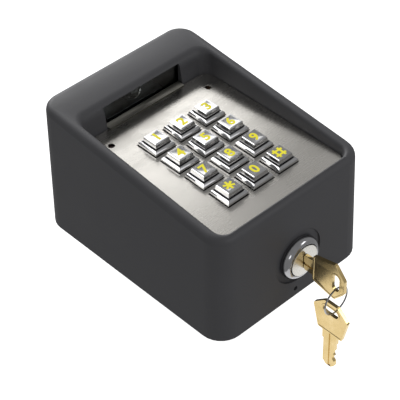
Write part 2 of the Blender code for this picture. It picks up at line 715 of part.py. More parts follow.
def key_outline():
    """Key in its own plane: u runs from the blade's tip (negative) to the bow's end, v across."""
    neck, blade, root = NECK_WIDTH / 2, BLADE_WIDTH / 2, BOW_ROOT / 2
    upper = [
        (-BLADE_LENGTH, blade * 0.45),
        (-BLADE_LENGTH + 2.2 * MM, blade),
        (-NECK_LENGTH + 0.4 * MM, blade),
        (-NECK_LENGTH + 0.8 * MM, neck),
        (-0.5 * MM, neck),
        (0.0, neck + 0.5 * MM),
        (0.0, root - 0.8 * MM),
        (0.5 * MM, root),
        (BOW_FLARE - 0.8 * MM, BOW_WIDE / 2 - 0.2 * MM),
        (BOW_FLARE + 0.4 * MM, BOW_WIDE / 2 - 0.5 * MM),
        (BOW_LENGTH - 0.6 * MM, BOW_END / 2 + 0.6 * MM),
        (BOW_LENGTH, BOW_END / 2 - 0.4 * MM),
    ]
    cuts = [
        (-BLADE_LENGTH + 2.2 * MM, -blade),
        (-19.0 * MM, -blade),
        (-17.6 * MM, -blade + 1.4 * MM),
        (-16.2 * MM, -blade + 1.4 * MM),
        (-15.0 * MM, -blade + 0.3 * MM),
        (-13.6 * MM, -blade + 1.0 * MM),
        (-12.0 * MM, -blade + 1.0 * MM),
        (-10.8 * MM, -blade),
        (-NECK_LENGTH + 0.4 * MM, -blade),
    ]
    lower = [(-BLADE_LENGTH, -blade * 0.45)] + cuts + [(u, -v) for u, v in upper[3:]]
    return lower + upper[::-1]


def lock_key(name, finish, place, origin):
    """A flat key with an oblong hole in its bow. place takes (u, v) to the key's plane."""
    outline = [place(u, v) for u, v in key_outline()]
    half = BLADE_THICK / 2
    made = solid(name, extruded(outline, -half, half, "X", (LOCK_X, 0.0, 0.0)), finish, origin)
    hole_u = BOW_LENGTH - BOW_HOLE_FROM_END
    slot = []
    for step in range(16):
        angle = math.tau * (step + 0.5) / 16
        reach = math.copysign(BOW_HOLE_LONG - BOW_HOLE_RADIUS, math.sin(angle))
        slot.append(
            place(
                hole_u + BOW_HOLE_RADIUS * math.cos(angle),
                BOW_HOLE_RADIUS * math.sin(angle) + reach,
            )
        )
    cutter = extruded(slot, -3 * half, 3 * half, "X", (LOCK_X, 0.0, 0.0))
    combine(made, solid("cut_hole_" + name, cutter), "DIFFERENCE")
    return made


def keys_and_ring(brass, steel):
    """The key in the lock, the split ring through its bow, and the spare key that hangs from it."""
    seat_z = LOCK_Z - BOW_HOLE_LONG + RING_WIRE + RING_REST
    lock_key(
        "lock_key", brass, lambda u, v: (BOW_Y - u, LOCK_Z + v), (LOCK_X, PLUG_FACE_Y, LOCK_Z)
    )
    middle = Vector((LOCK_X, BOW_HOLE_Y, seat_z - RING_RADIUS))
    profile = [
        (RING_RADIUS + RING_WIRE * math.cos(a), RING_WIRE * math.sin(a))
        for a in (math.tau * step / 8 for step in range(8))
    ]
    ring = turned(profile, "Y", middle, 32)
    solid("key_ring", ring, steel, (LOCK_X, BOW_HOLE_Y, seat_z))
    hang_z = middle.z - RING_RADIUS
    spare_hole = hang_z + RING_WIRE + RING_REST - BOW_HOLE_RADIUS
    spare_bow = spare_hole - BOW_LENGTH + BOW_HOLE_FROM_END
    lock_key(
        "spare_key",
        brass,
        lambda u, v: (BOW_HOLE_Y + SPARE_SHIFT + v, spare_bow + u),
        (LOCK_X, BOW_HOLE_Y, hang_z),
    )


# Back plate and what stands on it


def back_outline(z):
    return level(
        rounded_outline(
            CAVITY_X - BACK_PLATE_GAP,
            -CAVITY_Y + BACK_PLATE_GAP,
            CAVITY_Y - BACK_PLATE_GAP,
            CORNER_RADIUS - WALL - BACK_PLATE_GAP,
        ),
        z,
    )


def back_holes(name, wire_radius):
    """Cutter for the wire hole and the four mounting holes."""
    holes = bmesh.new()
    low, high = -3 * MM, BACK_PLATE_TOP + 3 * MM
    add_turned(holes, rod(wire_radius, low, high), "Z", (0.0, WIRE_HOLE_Y, 0.0), 28)
    x, y = CAVITY_X - SCREW_HOLE_INSET, CAVITY_Y - SCREW_HOLE_INSET
    for i in (-1, 1):
        for j in (-1, 1):
            add_turned(holes, rod(SCREW_HOLE_RADIUS, low, high), "Z", (i * x, j * y, 0.0), 16)
    return solid(name, holes)


def mounting_gasket(finish):
    made = solid("mounting_gasket", loft([back_outline(0.0), back_outline(GASKET_THICK)]), finish)
    combine(made, back_holes("cut_gasket_holes", WIRE_HOLE_RADIUS + 2.2 * MM), "DIFFERENCE")
    return made


def back_plate(finish):
    under = GASKET_THICK + GAP
    made = solid("back_plate", loft([back_outline(under), back_outline(BACK_PLATE_TOP)]), finish)
    root = BACK_PLATE_TOP - BACK_PLATE_THICK / 2
    top = BACK_PLATE_TOP + HOOK_HEIGHT - HOOK_PLAY
    edge = CAVITY_Y - BACK_PLATE_GAP - 0.6 * MM
    outline = (
        (edge - HOOK_THICK, root),
        (edge, root),
        (edge, top - HOOK_THICK),
        (CAVITY_Y + HOOK_REACH - HOOK_PLAY / 2, top - HOOK_THICK),
        (CAVITY_Y + HOOK_REACH - HOOK_PLAY / 2, top),
        (edge - HOOK_THICK, top),
    )
    for number, side in enumerate((-1, 1)):
        low = side * HOOK_X - HOOK_HALF
        tabs = extruded(outline, low, low + 2 * HOOK_HALF, "X", (0, 0, 0))
        combine(made, solid(f"add_hook_{number + 1}", tabs), "UNION")
    combine(made, back_holes("cut_plate_holes", WIRE_HOLE_RADIUS), "DIFFERENCE")
    return made


def cable_grommet(finish):
    """A rubber grommet, grooved for the back plate's edge."""
    lip, groove, bore = WIRE_HOLE_RADIUS + 1.7 * MM, WIRE_HOLE_RADIUS - GAP, WIRE_HOLE_RADIUS - 3.5 * MM
    low, high = GAP, BACK_PLATE_TOP + 1.8 * MM
    plate_low, plate_high = GASKET_THICK, BACK_PLATE_TOP + GAP
    profile = [(bore, low), (lip, low), (lip, plate_low), (groove, plate_low), (groove, plate_high)]
    profile += [(lip, plate_high), (lip, high), (bore, high)]
    return solid("cable_grommet", turned(profile, "Z", (0.0, WIRE_HOLE_Y, 0.0), 28), finish)


def lock_catch(finish):
    """The bracket that the cam swings under."""
    low = BACK_PLATE_TOP + GAP
    lip_low = LOCK_Z + CAM_HALF + CATCH_PLAY
    near = LOCK_X + CATCH_FROM_AXIS
    upright = near + CATCH_LIP
    outline = (
        (near, lip_low),
        (upright, lip_low),
        (upright, low),
        (upright + CATCH_FOOT, low),
        (upright + CATCH_FOOT, low + CATCH_THICK),
        (upright + CATCH_THICK, low + CATCH_THICK),
        (upright + CATCH_THICK, lip_low + CATCH_THICK),
        (near, lip_low + CATCH_THICK),
    )
    middle = CAM_Y + CAM_THICK / 2
    shape = extruded(outline, middle - CATCH_DEPTH / 2, middle + CATCH_DEPTH / 2, "Y", (0, 0, 0))
    return solid("lock_catch", shape, finish)


# Main board and what it carries


def main_board_box():
    half_x = CAVITY_X - DRAFT * MAIN_TOP - MAIN_MARGIN
    return half_x, MAIN_FRONT, CHAMBER_FRONT + 4.0 * MM


def standoff_places():
    half_x, low, high = main_board_box()
    inset = STANDOFF_INSET
    ledge_back = RECESS_BACK
    return [(i * (half_x - inset), y) for i in (-1, 1) for y in (low + inset, ledge_back)]


def main_board(finish):
    half_x, low, high = main_board_box()
    made = solid("main_board", box((-half_x, low, MAIN_UNDER), (half_x, high, MAIN_TOP)), finish)
    holes = bmesh.new()
    hole = rod(BOARD_SCREW_RADIUS + GAP, MAIN_UNDER - 2 * MM, MAIN_TOP + 2 * MM)
    for x, y in standoff_places():
        add_turned(holes, hole, "Z", (x, y, 0.0), 12)
    combine(made, solid("cut_board_holes", holes), "DIFFERENCE")
    return made


def standoffs_and_screws(brass, steel):
    thread = 6.0 * MM
    for number, (x, y) in enumerate(standoff_places(), 1):
        low, high = MAIN_TOP + GAP, LEDGE_UNDER - GAP
        bore = BOARD_SCREW_RADIUS + GAP
        profile = [(0.0, high), (STANDOFF_RADIUS, high), (STANDOFF_RADIUS, low), (bore, low)]
        profile += [(bore, low + thread + 2 * GAP), (0.0, low + thread + 2 * GAP)]
        solid(f"standoff_{number}", turned(profile, "Z", (x, y, 0.0), 12), brass)
        under = MAIN_UNDER - GAP
        screw = [(0.0, under - BOARD_SCREW_HEAD), (2.0 * MM, under - BOARD_SCREW_HEAD)]
        screw += [(2.8 * MM, under - BOARD_SCREW_HEAD * 0.4), (2.8 * MM, under)]
        screw += [(BOARD_SCREW_RADIUS, under), (BOARD_SCREW_RADIUS, low + thread), (0.0, low + thread)]
        solid(f"board_screw_{number}", turned(screw, "Z", (x, y, 0.0), 12), steel)


def board_parts(relay_plastic, terminal_plastic, dark, plunger_plastic):
    def hang(name, centre, size, finish):
        x, y = centre
        sx, sy, sz = size
        return solid(
            name,
            box((x - sx / 2, y - sy / 2, PARTS_TOP - sz), (x + sx / 2, y + sy / 2, PARTS_TOP)),
            finish,
        )

    half_x, low, high = main_board_box()
    hang("relay_1", (-24.0 * MM, 4.0 * MM), RELAY_SIZE, relay_plastic)
    hang("relay_2", (24.0 * MM, 4.0 * MM), RELAY_SIZE, relay_plastic)
    hang("terminal_block", (0.0, high - 8.0 * MM), TERMINAL_SIZE, terminal_plastic)
    sx, sy = HEADER_SIZE
    header_y = 8.0 * MM
    header = box(
        (-sx / 2, header_y - sy / 2, MAIN_TOP + GAP),
        (sx / 2, header_y + sy / 2, KEYPAD_BOARD_TOP - BOARD_THICK - GAP),
    )
    solid("board_connector", header, dark)
    front, mouth = PARTS_TOP - BUZZER_HEIGHT, 1.0 * MM
    profile = [(0.0, PARTS_TOP), (BUZZER_RADIUS, PARTS_TOP), (BUZZER_RADIUS, front)]
    profile += [(mouth, front), (mouth, front + 4 * MM), (0.0, front + 4 * MM)]
    solid("buzzer", turned(profile, "Z", (0.0, -24.0 * MM, 0.0), 24), dark)
    place = (-28.0 * MM, low + 14.0 * MM)
    switch = hang("tamper_switch", place, SWITCH_SIZE, dark)
    body_low = PARTS_TOP - SWITCH_SIZE[2]
    bore_top = body_low + 4.0 * MM + PLUNGER_TRAVEL + GAP
    bore = turned(rod(PLUNGER_RADIUS + RUN_GAP, body_low - 2 * MM, bore_top), "Z", (*place, 0.0), 16)
    combine(switch, solid("cut_switch_bore", bore), "DIFFERENCE")
    start = BACK_PLATE_TOP + GAP
    plunger = turned(rod(PLUNGER_RADIUS, start, body_low + 4.0 * MM), "Z", (*place, 0.0), 16)
    solid("tamper_plunger", plunger, plunger_plastic, (*place, start))


def build():
    clear_scene()
    powder = material("powder_coated_casting", (0.055, 0.055, 0.058), 0.62)
    stainless = material("brushed_stainless", (0.62, 0.61, 0.58), 0.32, 1.0)
    chrome = material("chrome_plate", (0.75, 0.75, 0.76), 0.12, 1.0)
    zinc = material("zinc_plated_steel", (0.55, 0.56, 0.57), 0.4, 1.0)
    brass = material("key_brass", (0.72, 0.53, 0.22), 0.28, 1.0)
    rubber = material("black_rubber", (0.02, 0.02, 0.02), 0.8)
    board = material("green_board", (0.02, 0.12, 0.05), 0.45)
    black = material("black_nylon", (0.02, 0.02, 0.022), 0.5)
    blue = material("relay_blue", (0.03, 0.11, 0.35), 0.4)
    green = material("terminal_green", (0.03, 0.3, 0.09), 0.45)
    clear = material("clear_polycarbonate", (0.35, 0.37, 0.38), 0.08)
    bulb = material("bulb_glass", (0.8, 0.8, 0.78), 0.05)
    red = material("indicator_red", (0.25, 0.01, 0.01), 0.25)
    amber = material("indicator_amber", (0.3, 0.12, 0.01), 0.25)
    white = material("white_nylon", (0.7, 0.7, 0.68), 0.5)

    housing(powder)
    faceplate(stainless)
    lamp_deflector(stainless)
    keypad_frame(chrome)
    for name, centre in key_places():
        push_key(name, centre, chrome)
    switch_mat(rubber)
    keypad_board(board)
    indicator("indicator_left", -LED_X, red)
    indicator("indicator_right", LED_X, amber)
    courtesy_light(clear, bulb, black, zinc)
    lock_body(chrome)
    lock_plug(chrome)
    lock_nut(zinc)
    lock_cam(zinc)
    cam_nut(zinc)
    keys_and_ring(brass, zinc)
    mounting_gasket(rubber)
    back_plate(zinc)
    cable_grommet(rubber)
    lock_catch(zinc)
    main_board(board)
    standoffs_and_screws(zinc, zinc)
    board_parts(blue, green, black, white)


build()
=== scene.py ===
# %% [markdown]
# # An outdoor keypad reader
#
# The reader is a cast box for a gate post. Its sloping rim carries a hood over a steel faceplate
# with twelve metal keys, and a cam lock in the end wall holds it on its back plate.
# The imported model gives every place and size. This script adds the fine surfaces: rounded
# castings, pressed metal, engraved numerals, glass and brass, and the light to see them in.

# %% Load the frame
import json
import math

import bmesh
import bpy
from mathutils import Matrix, Vector

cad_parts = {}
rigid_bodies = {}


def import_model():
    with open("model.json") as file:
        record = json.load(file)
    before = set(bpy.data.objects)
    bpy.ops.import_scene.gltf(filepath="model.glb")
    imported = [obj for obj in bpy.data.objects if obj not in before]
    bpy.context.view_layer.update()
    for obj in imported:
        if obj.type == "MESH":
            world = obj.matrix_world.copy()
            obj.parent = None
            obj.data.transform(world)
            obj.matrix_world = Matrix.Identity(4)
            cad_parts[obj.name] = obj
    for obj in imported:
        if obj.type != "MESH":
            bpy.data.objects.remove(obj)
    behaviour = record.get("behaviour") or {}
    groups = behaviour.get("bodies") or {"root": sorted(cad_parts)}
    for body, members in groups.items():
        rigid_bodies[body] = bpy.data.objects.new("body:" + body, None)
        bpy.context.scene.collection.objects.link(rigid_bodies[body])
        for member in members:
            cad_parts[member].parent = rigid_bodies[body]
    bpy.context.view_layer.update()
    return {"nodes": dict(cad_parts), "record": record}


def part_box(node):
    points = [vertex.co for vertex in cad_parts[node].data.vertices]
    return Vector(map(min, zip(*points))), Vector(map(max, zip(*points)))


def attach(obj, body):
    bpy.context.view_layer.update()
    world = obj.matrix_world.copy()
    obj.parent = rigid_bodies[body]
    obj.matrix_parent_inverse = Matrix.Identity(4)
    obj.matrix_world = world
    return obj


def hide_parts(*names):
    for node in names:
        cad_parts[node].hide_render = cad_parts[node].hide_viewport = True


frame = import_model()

MM = 0.001
nodes = frame["nodes"]
bodies = frame["record"]["behaviour"]["bodies"]
body_of = {node: body for body, members in bodies.items() for node in members}
slot_of = {part["node"]: part["material_slot"] for part in frame["record"]["subparts"]}


def span(node):
    """Lowest corner, highest corner and middle of a node."""
    low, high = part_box(node)
    return low, high, (low + high) / 2


# %% [markdown]
# ## Helpers for colour and nodes
#
# Colours are given as sRGB hex values, and shaders want linear light, so one function turns
# the one into the other. A second function adds a node with its settings and its links, which keeps
# a material down to a few readable lines. The node editor would do as well, but a script can be
# read and changed. Patterns are spaced in real millimetres, so that they keep their scale on every
# piece.


# %% Colour and node helpers
def linear(code):
    """An sRGB hex colour as linear red, green, blue and alpha."""
    values = [int(code[i : i + 2], 16) / 255 for i in (1, 3, 5)]
    return [v / 12.92 if v <= 0.04045 else ((v + 0.055) / 1.055) ** 2.4 for v in values] + [1.0]


def add(tree, kind, settings=None, **links):
    """Adds a node. settings are its properties or unlinked inputs, links its inputs' sources.

    An input with a number for a name is i0, i1 and so on among the links."""
    made = tree.nodes.new(kind)
    for name, value in (settings or {}).items():
        if isinstance(name, int) or name in made.inputs:
            made.inputs[name].default_value = value
        else:
            setattr(made, name, value)
    for name, source in links.items():
        key = int(name[1:]) if name[0] == "i" and name[1:].isdigit() else name.replace("_", " ")
        tree.links.new(source, made.inputs[key])
    return made


def new_material(name, settings):
    """A material with a Principled BSDF whose constant sockets are set, its tree and its shader."""
    made = bpy.data.materials.new(name)
    made.use_nodes = True
    shader = made.node_tree.nodes["Principled BSDF"]
    for socket, value in settings.items():
        shader.inputs[socket].default_value = value
    return made, made.node_tree, shader


def ramp(tree, source, stops):
    """The colour of a ramp through (place, hex colour) stops."""
    made = add(tree, "ShaderNodeValToRGB", Fac=source)
    elements = made.color_ramp.elements
    elements[0].position, elements[1].position = stops[0][0], stops[-1][0]
    elements[0].color, elements[1].color = linear(stops[0][1]), linear(stops[-1][1])
    for place, code in stops[1:-1]:
        elements.new(place).color = linear(code)
    return made.outputs["Color"]


def levels(tree, source, low, high, to_low, to_high):
    """A value moved from one range to another, such as from a noise's range to a roughness."""
    return add(
        tree,
        "ShaderNodeMapRange",
        {"From Min": low, "From Max": high, "To Min": to_low, "To Max": to_high},
        Value=source,
    ).outputs["Result"]


def spaced(tree, *spacing_mm):
    """Object coordinates in which a pattern repeats once in these distances along X, Y and Z.

    One distance serves all three axes."""
    repeats = [1 / (size * MM) for size in spacing_mm]
    scale = repeats if len(repeats) == 3 else repeats * 3
    coordinates = add(tree, "ShaderNodeTexCoord").outputs["Object"]
    return add(tree, "ShaderNodeMapping", {"Scale": scale}, Vector=coordinates).outputs["Vector"]


def noise(tree, vector, detail=3.0, rough=0.5):
    """Soft random lumps from 0 to 1, one to each repeat of the coordinates."""
    return add(
        tree,
        "ShaderNodeTexNoise",
        {"Scale": 1.0, "Detail": detail, "Roughness": rough},
        Vector=vector,
    ).outputs["Fac"]


def bump(tree, shader, height, strength, depth):
    """Tilts the surface as if the height stood this deep."""
    made = add(tree, "ShaderNodeBump", {"Strength": strength, "Distance": depth}, Height=height)
    tree.links.new(made.outputs["Normal"], shader.inputs["Normal"])


low, high, middle = span("faceplate")
print("box of the faceplate, mm:", [round(side / MM, 1) for side in high - low])

# %% [markdown]
# ## Powder coat
#
# The box is die-cast zinc with a baked polyester powder coat. Powder flows out unevenly, so the
# surface has an orange peel that scatters the highlight. It could be modelled, but bump is enough
# for lumps so low. The real ones are about 0.5 mm across, and they are drawn at 0.8 mm so that they
# show. A slower drift in colour and roughness stands for wear.


# %% Powder coat
PEEL_MM, WEAR_MM = 0.8, 28


def powder_coat():
    coat = {"IOR": 1.5, "Specular IOR Level": 0.4}
    made, tree, shader = new_material("powder_coat_charcoal", coat)
    peel = noise(tree, spaced(tree, PEEL_MM), 2.0, 0.55)
    drift = noise(tree, spaced(tree, WEAR_MM), 4.0, 0.6)
    colour = ramp(tree, drift, [(0.3, "#434346"), (0.7, "#48484b")])
    tree.links.new(colour, shader.inputs["Base Color"])
    tree.links.new(levels(tree, drift, 0.3, 0.7, 0.5, 0.6), shader.inputs["Roughness"])
    bump(tree, shader, peel, 0.5, 0.1 * MM)
    return made


powder = powder_coat()
print("made:", powder.name)

# %% [markdown]
# ## Brushed stainless steel
#
# The faceplate is stainless sheet, brushed with a belt along its width. A picture of scratches
# could be laid on it, but noise that is squeezed across the scratches and stretched along them has
# no seams and needs no file. A real scratch is a few hundredths of a millimetre wide, and it is
# drawn at 0.22 mm so that it shows. The scratches tilt the surface a little, which smears the
# reflections at right angles to them. Anisotropy on the shader gives the same smear from far away.
# A broad cloud over them stands for hands and weather.


# %% Brushed steel
SCRATCH_LONG_MM, SCRATCH_WIDE_MM = 45, 0.22
SCRATCH_SHARE = 0.35  # the rest of the mixture is the cloud


def brushed_steel(name, dark, light, rough):
    made, tree, shader = new_material(name, {"Metallic": 1.0, "Anisotropic": 0.5})
    fine = noise(tree, spaced(tree, SCRATCH_LONG_MM, SCRATCH_WIDE_MM, SCRATCH_WIDE_MM), 3.0, 0.6)
    cloud = noise(tree, spaced(tree, 22, 14, 18), 4.0, 0.55)
    cloud_part = levels(tree, cloud, 0, 1, 0, 1 - SCRATCH_SHARE)
    settings = {"operation": "MULTIPLY_ADD", 1: SCRATCH_SHARE}
    mixed = add(tree, "ShaderNodeMath", settings, i0=fine, i2=cloud_part).outputs["Value"]
    tree.links.new(ramp(tree, mixed, [(0.35, dark), (0.65, light)]), shader.inputs["Base Color"])
    dulled = levels(tree, mixed, 0.35, 0.65, rough + 0.05, rough - 0.03)
    tree.links.new(dulled, shader.inputs["Roughness"])
    bump(tree, shader, fine, 0.03, 0.02 * MM)
    return made


face_steel = brushed_steel("brushed_stainless_sheet", "#c9c6c0", "#d8d5cf", 0.26)
# The deflector is the same stainless as the sheet. Its darker colour is painted shade for the dim light
# under the hood.
hood_shaded_steel = brushed_steel("brushed_stainless_strip", "#807e77", "#918f88", 0.42)
print("made:", face_steel.name, hood_shaded_steel.name)

# %% [markdown]
# ## Chrome, zinc and brass
#
# The keys and collars are zinc castings with satin chrome, the bezel has bright chrome, and the
# hardware has blue-white zinc plate. One recipe does for all of them: a metal's colour, a little
# drift, and a faint ripple, because plating keeps the shape of the casting under it. The lock's
# keys are rolled brass. Their roughness drifts in patches, where hands have dulled them, and the
# rolls leave fine lines along the strip.


# %% Plated metals and brass
def plated(name, dark, light, rough, ripple_mm=3.0, ripple=0.05):
    made, tree, shader = new_material(name, {"Metallic": 1.0})
    cloud = noise(tree, spaced(tree, ripple_mm), 3.0, 0.5)
    tree.links.new(ramp(tree, cloud, [(0.3, dark), (0.7, light)]), shader.inputs["Base Color"])
    dulled = levels(tree, cloud, 0.3, 0.7, rough * 0.85, rough * 1.25)
    tree.links.new(dulled, shader.inputs["Roughness"])
    bump(tree, shader, cloud, ripple, 0.02 * MM)
    return made


def rolled_brass():
    made, tree, shader = new_material("rolled_brass", {"Metallic": 1.0})
    rolled = noise(tree, spaced(tree, 0.25, 0.25, 9.0), 2.0, 0.6)
    tarnish = noise(tree, spaced(tree, 7), 4.0, 0.6)
    colour = ramp(tree, tarnish, [(0.3, "#c9b078"), (0.55, "#d0b883"), (0.75, "#d7c191")])
    tree.links.new(colour, shader.inputs["Base Color"])
    tree.links.new(levels(tree, tarnish, 0.3, 0.7, 0.24, 0.18), shader.inputs["Roughness"])
    bump(tree, shader, rolled, 0.03, 0.02 * MM)
    return made


# name, darker and lighter colour, roughness, ripple's size in mm, ripple's strength
key_chrome = plated("satin_chrome", "#b2b2b3", "#bcbcbd", 0.09, 5.0, 0.01)
bezel_chrome = plated("bright_chrome", "#98989a", "#a8a8aa", 0.15, 6.0, 0.02)
plug_steel = plated("nickel_plate", "#c0beb8", "#d4d2cc", 0.3, 2.0, 0.06)
zinc = plated("blue_white_zinc_plate", "#9da2a6", "#b7bbbd", 0.38, 4.0, 0.08)
ring_steel = plated("spring_steel", "#8e8e90", "#a9a9ab", 0.22, 3.0, 0.05)
brass = rolled_brass()
print("plated metals and brass, materials so far:", len(bpy.data.materials))

# %% [markdown]
# ## Rubber, boards and plastics
#
# Moulded parts share one recipe: a base colour with a slow drift, and the fine texture that a
# spark-eroded mould leaves, as bump. Only the numbers differ. The enamel and the epoxy lenses are
# poured and not moulded, but they look alike from this far and take the same recipe. The boards
# have copper tracks under green lacquer. A brick pattern on the 2.54 mm grid of their pins stands
# in for the tracks, because only their rhythm shows.


# %% Moulded materials
PIN_PITCH_MM = 2.54


def moulded(name, dark, light, rough, grain_mm=0.3, grain=0.2):
    made, tree, shader = new_material(name, {"IOR": 1.5})
    drift = noise(tree, spaced(tree, 12), 3.0, 0.5)
    tree.links.new(ramp(tree, drift, [(0.3, dark), (0.7, light)]), shader.inputs["Base Color"])
    dulled = levels(tree, drift, 0.3, 0.7, rough - 0.04, rough + 0.05)
    tree.links.new(dulled, shader.inputs["Roughness"])
    bump(tree, shader, noise(tree, spaced(tree, grain_mm)), grain, 0.05 * MM)
    return made


def circuit_board():
    made, tree, shader = new_material("green_circuit_board", {"IOR": 1.5, "Roughness": 0.35})
    pattern = {"Scale": 1.0, "Mortar Size": 0.14, "Mortar Smooth": 0.1}
    pattern.update({"Brick Width": 2.6, "Row Height": 0.9})
    grid = spaced(tree, PIN_PITCH_MM)
    tracks = add(tree, "ShaderNodeTexBrick", pattern, Vector=grid).outputs["Fac"]
    colour = ramp(tree, tracks, [(0.4, "#1d5a31"), (0.6, "#2f7a45")])
    tree.links.new(colour, shader.inputs["Base Color"])
    bump(tree, shader, tracks, 0.3, 0.04 * MM)
    return made


rubber = moulded("black_rubber", "#1c1c1d", "#262627", 0.75, 0.4, 0.3)
black_plastic = moulded("black_nylon", "#1a1a1b", "#232324", 0.48)
relay_plastic = moulded("relay_blue", "#1d4f9e", "#2558a8", 0.35)
terminal_plastic = moulded("terminal_green", "#2a7d3c", "#318a45", 0.42)
white_plastic = moulded("white_nylon", "#dcdcd6", "#e8e8e2", 0.45)
board_green = circuit_board()
resistor_tan = moulded("lacquered_ceramic", "#c9a878", "#d6b88c", 0.35, 0.4, 0.1)
yellow = moulded("yellow_enamel", "#f2e62a", "#fbf03a", 0.4, 0.2, 0.1)
red_epoxy = moulded("dark_red_epoxy", "#2a0808", "#3a0c0c", 0.2, 0.5, 0.05)
amber_epoxy = moulded("dark_amber_epoxy", "#30190a", "#40230c", 0.2, 0.5, 0.05)
print("moulded and poured, materials so far:", len(bpy.data.materials))

# %% [markdown]
# ## Clear pieces
#
# The lamp window is polycarbonate sheet and the lamp is blown glass. Full transmission makes a
# shader clear. Nothing outdoors stays polished, so the roughness drifts a little, as a wiped
# surface does. The sheet's refraction is set below the real 1.58, because it is a thin flat piece
# and should not shift or hide what is behind it.


# %% Polycarbonate and lamp glass
def clear_glass(name, code, ior, rough):
    settings = {"Base Color": linear(code), "Transmission Weight": 1.0, "IOR": ior}
    made, tree, shader = new_material(name, settings)
    smear = noise(tree, spaced(tree, 9), 3.0, 0.6)
    tree.links.new(levels(tree, smear, 0.3, 0.7, rough, rough + 0.05), shader.inputs["Roughness"])
    return made


lens_clear = clear_glass("clear_polycarbonate", "#e6eaea", 1.3, 0.02)
bulb_glass = clear_glass("lamp_glass", "#f2f2ee", 1.49, 0.01)
print("materials in all:", len(bpy.data.materials))

# %% [markdown]
# ## Finishing a piece
#
# Every new piece ends the same way: its bmesh becomes a mesh in its final place, faces get smooth
# shading except across sharp edges, and a small bevel gives each edge the highlight that a real
# edge has. The bevel could be cut into the mesh, but as a modifier it stays easy to change. Its
# hardened normals keep large flat faces flat beside their rounded edges.
#
# A piece that takes a node's place starts from a merged copy of it, and the node stays untouched.


# %% Finish a piece
def finish(name, shape, material, body, replaces=(), sharp=35, bevel=0.0):
    """Makes an object of a bmesh. Edges sharper than the angle stay sharp or take the bevel."""
    bmesh.ops.recalc_face_normals(shape, faces=shape.faces)
    mesh = bpy.data.meshes.new(name)
    shape.to_mesh(mesh)
    shape.free()
    made = bpy.data.objects.new(name, mesh)
    bpy.context.scene.collection.objects.link(made)
    mesh.materials.append(material)
    mesh.shade_smooth()
    mesh.set_sharp_from_angle(angle=math.radians(sharp))
    if bevel:
        rounding = made.modifiers.new("edges", "BEVEL")
        rounding.width = bevel
        rounding.segments = 2
        rounding.limit_method = "ANGLE"
        rounding.angle_limit = math.radians(sharp)
        rounding.use_clamp_overlap = True
        rounding.harden_normals = True
    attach(made, body)
    if replaces:
        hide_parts(*replaces)


def stand_for(node, shape, material, sharp=35, bevel=0.0):
    """Finishes a shape that takes a node's place."""
    finish(node + "_fine", shape, material, body_of[node], (node,), sharp, bevel)


def copy_of(node):
    """A merged copy of a node's mesh, with its flat triangles joined into whole faces."""
    shape = bmesh.new()
    shape.from_mesh(nodes[node].data)
    bmesh.ops.remove_doubles(shape, verts=shape.verts, dist=1e-6)
    flatten(shape)
    return shape


def flatten(shape):
    """Joins faces that lie within a degree of each other."""
    corner = math.radians(1)
    bmesh.ops.dissolve_limit(shape, angle_limit=corner, verts=shape.verts, edges=shape.edges)


def cut(shape, place, facing):
    """Cuts a whole shape along a plane and leaves both halves joined."""
    everything = shape.verts[:] + shape.edges[:] + shape.faces[:]
    bmesh.ops.bisect_plane(shape, geom=everything, dist=1e-7, plane_co=place, plane_no=facing)


print("nodes to dress:", len(nodes))

# %% [markdown]
# ## Pieces that only need an edge
#
# Most pieces already have their true shape: castings, pressed plates, boards and relays. They get
# their material and a softened edge, and nothing is modelled anew. The casting's edges are rounder
# than those of the sheet metal, and the key frame's are finer, because its collars are small.

# %% Softened copies
SOFT_EDGE = (0.15 * MM, 30)  # how wide the bevel is, and how sharp an edge takes it, in degrees
EDGE = {"keypad_frame": (0.05 * MM, 10), "housing": (0.3 * MM, 30)}
looks = {
    "faceplate": face_steel,
    "keypad_frame": key_chrome,
    "switch_mat": rubber,
    "keypad_board": board_green,
    "indicator_left": red_epoxy,
    "indicator_right": amber_epoxy,
    "lamp_window": lens_clear,
    "lamp_socket": black_plastic,
    "lamp_bracket": zinc,
    "lock_plug": plug_steel,
    "lock_nut": zinc,
    "lock_cam": zinc,
    "cam_nut": zinc,
    "mounting_gasket": rubber,
    "back_plate": zinc,
    "cable_grommet": rubber,
    "lock_catch": zinc,
    "main_board": board_green,
    "relay_1": relay_plastic,
    "relay_2": relay_plastic,
    "tamper_switch": black_plastic,
    "tamper_plunger": white_plastic,
    "housing": powder,
}
for number in range(1, 5):
    looks[f"standoff_{number}"] = zinc
for node, material in looks.items():
    width, sharp = EDGE.get(node, SOFT_EDGE)
    stand_for(node, copy_of(node), material, sharp, width)
# A clear sheet lets light through to the lamp.
bpy.data.objects["lamp_window_fine"].visible_shadow = False
print("nodes refined:", len(looks))

# %% [markdown]
# ## Turned pieces
#
# Bezels, barrels, lamps and screws are made on a lathe, and the same idea models them: an outline
# is spun round an axis. Cylinders joined together would need cleaning up where they meet. The
# outline is a short chain of points, each a radius and a place along the axis. Where it starts and
# ends on the axis, the spin closes itself, and merging the doubles there leaves a clean pole.


# %% Turning helper
def turned(points, centre, axis, steps=48):
    """Spins (radius, place) points round the axis through centre. place is a coordinate along it."""
    axis = Vector(axis)
    side = Vector((1, 0, 0))
    origin = Vector(centre) - axis * Vector(centre).dot(axis)
    shape = bmesh.new()
    verts = [shape.verts.new(origin + side * radius + axis * place) for radius, place in points]
    for one, two in zip(verts, verts[1:]):
        shape.edges.new((one, two))
    bmesh.ops.spin(
        shape,
        geom=shape.verts[:] + shape.edges[:],
        cent=origin,
        axis=axis,
        angle=math.tau,
        steps=steps,
        use_merge=True,
    )
    bmesh.ops.remove_doubles(shape, verts=shape.verts, dist=1e-7)
    return shape


print("pieces to turn: lock body, lamp, buzzer, screws, capacitors, resistors")

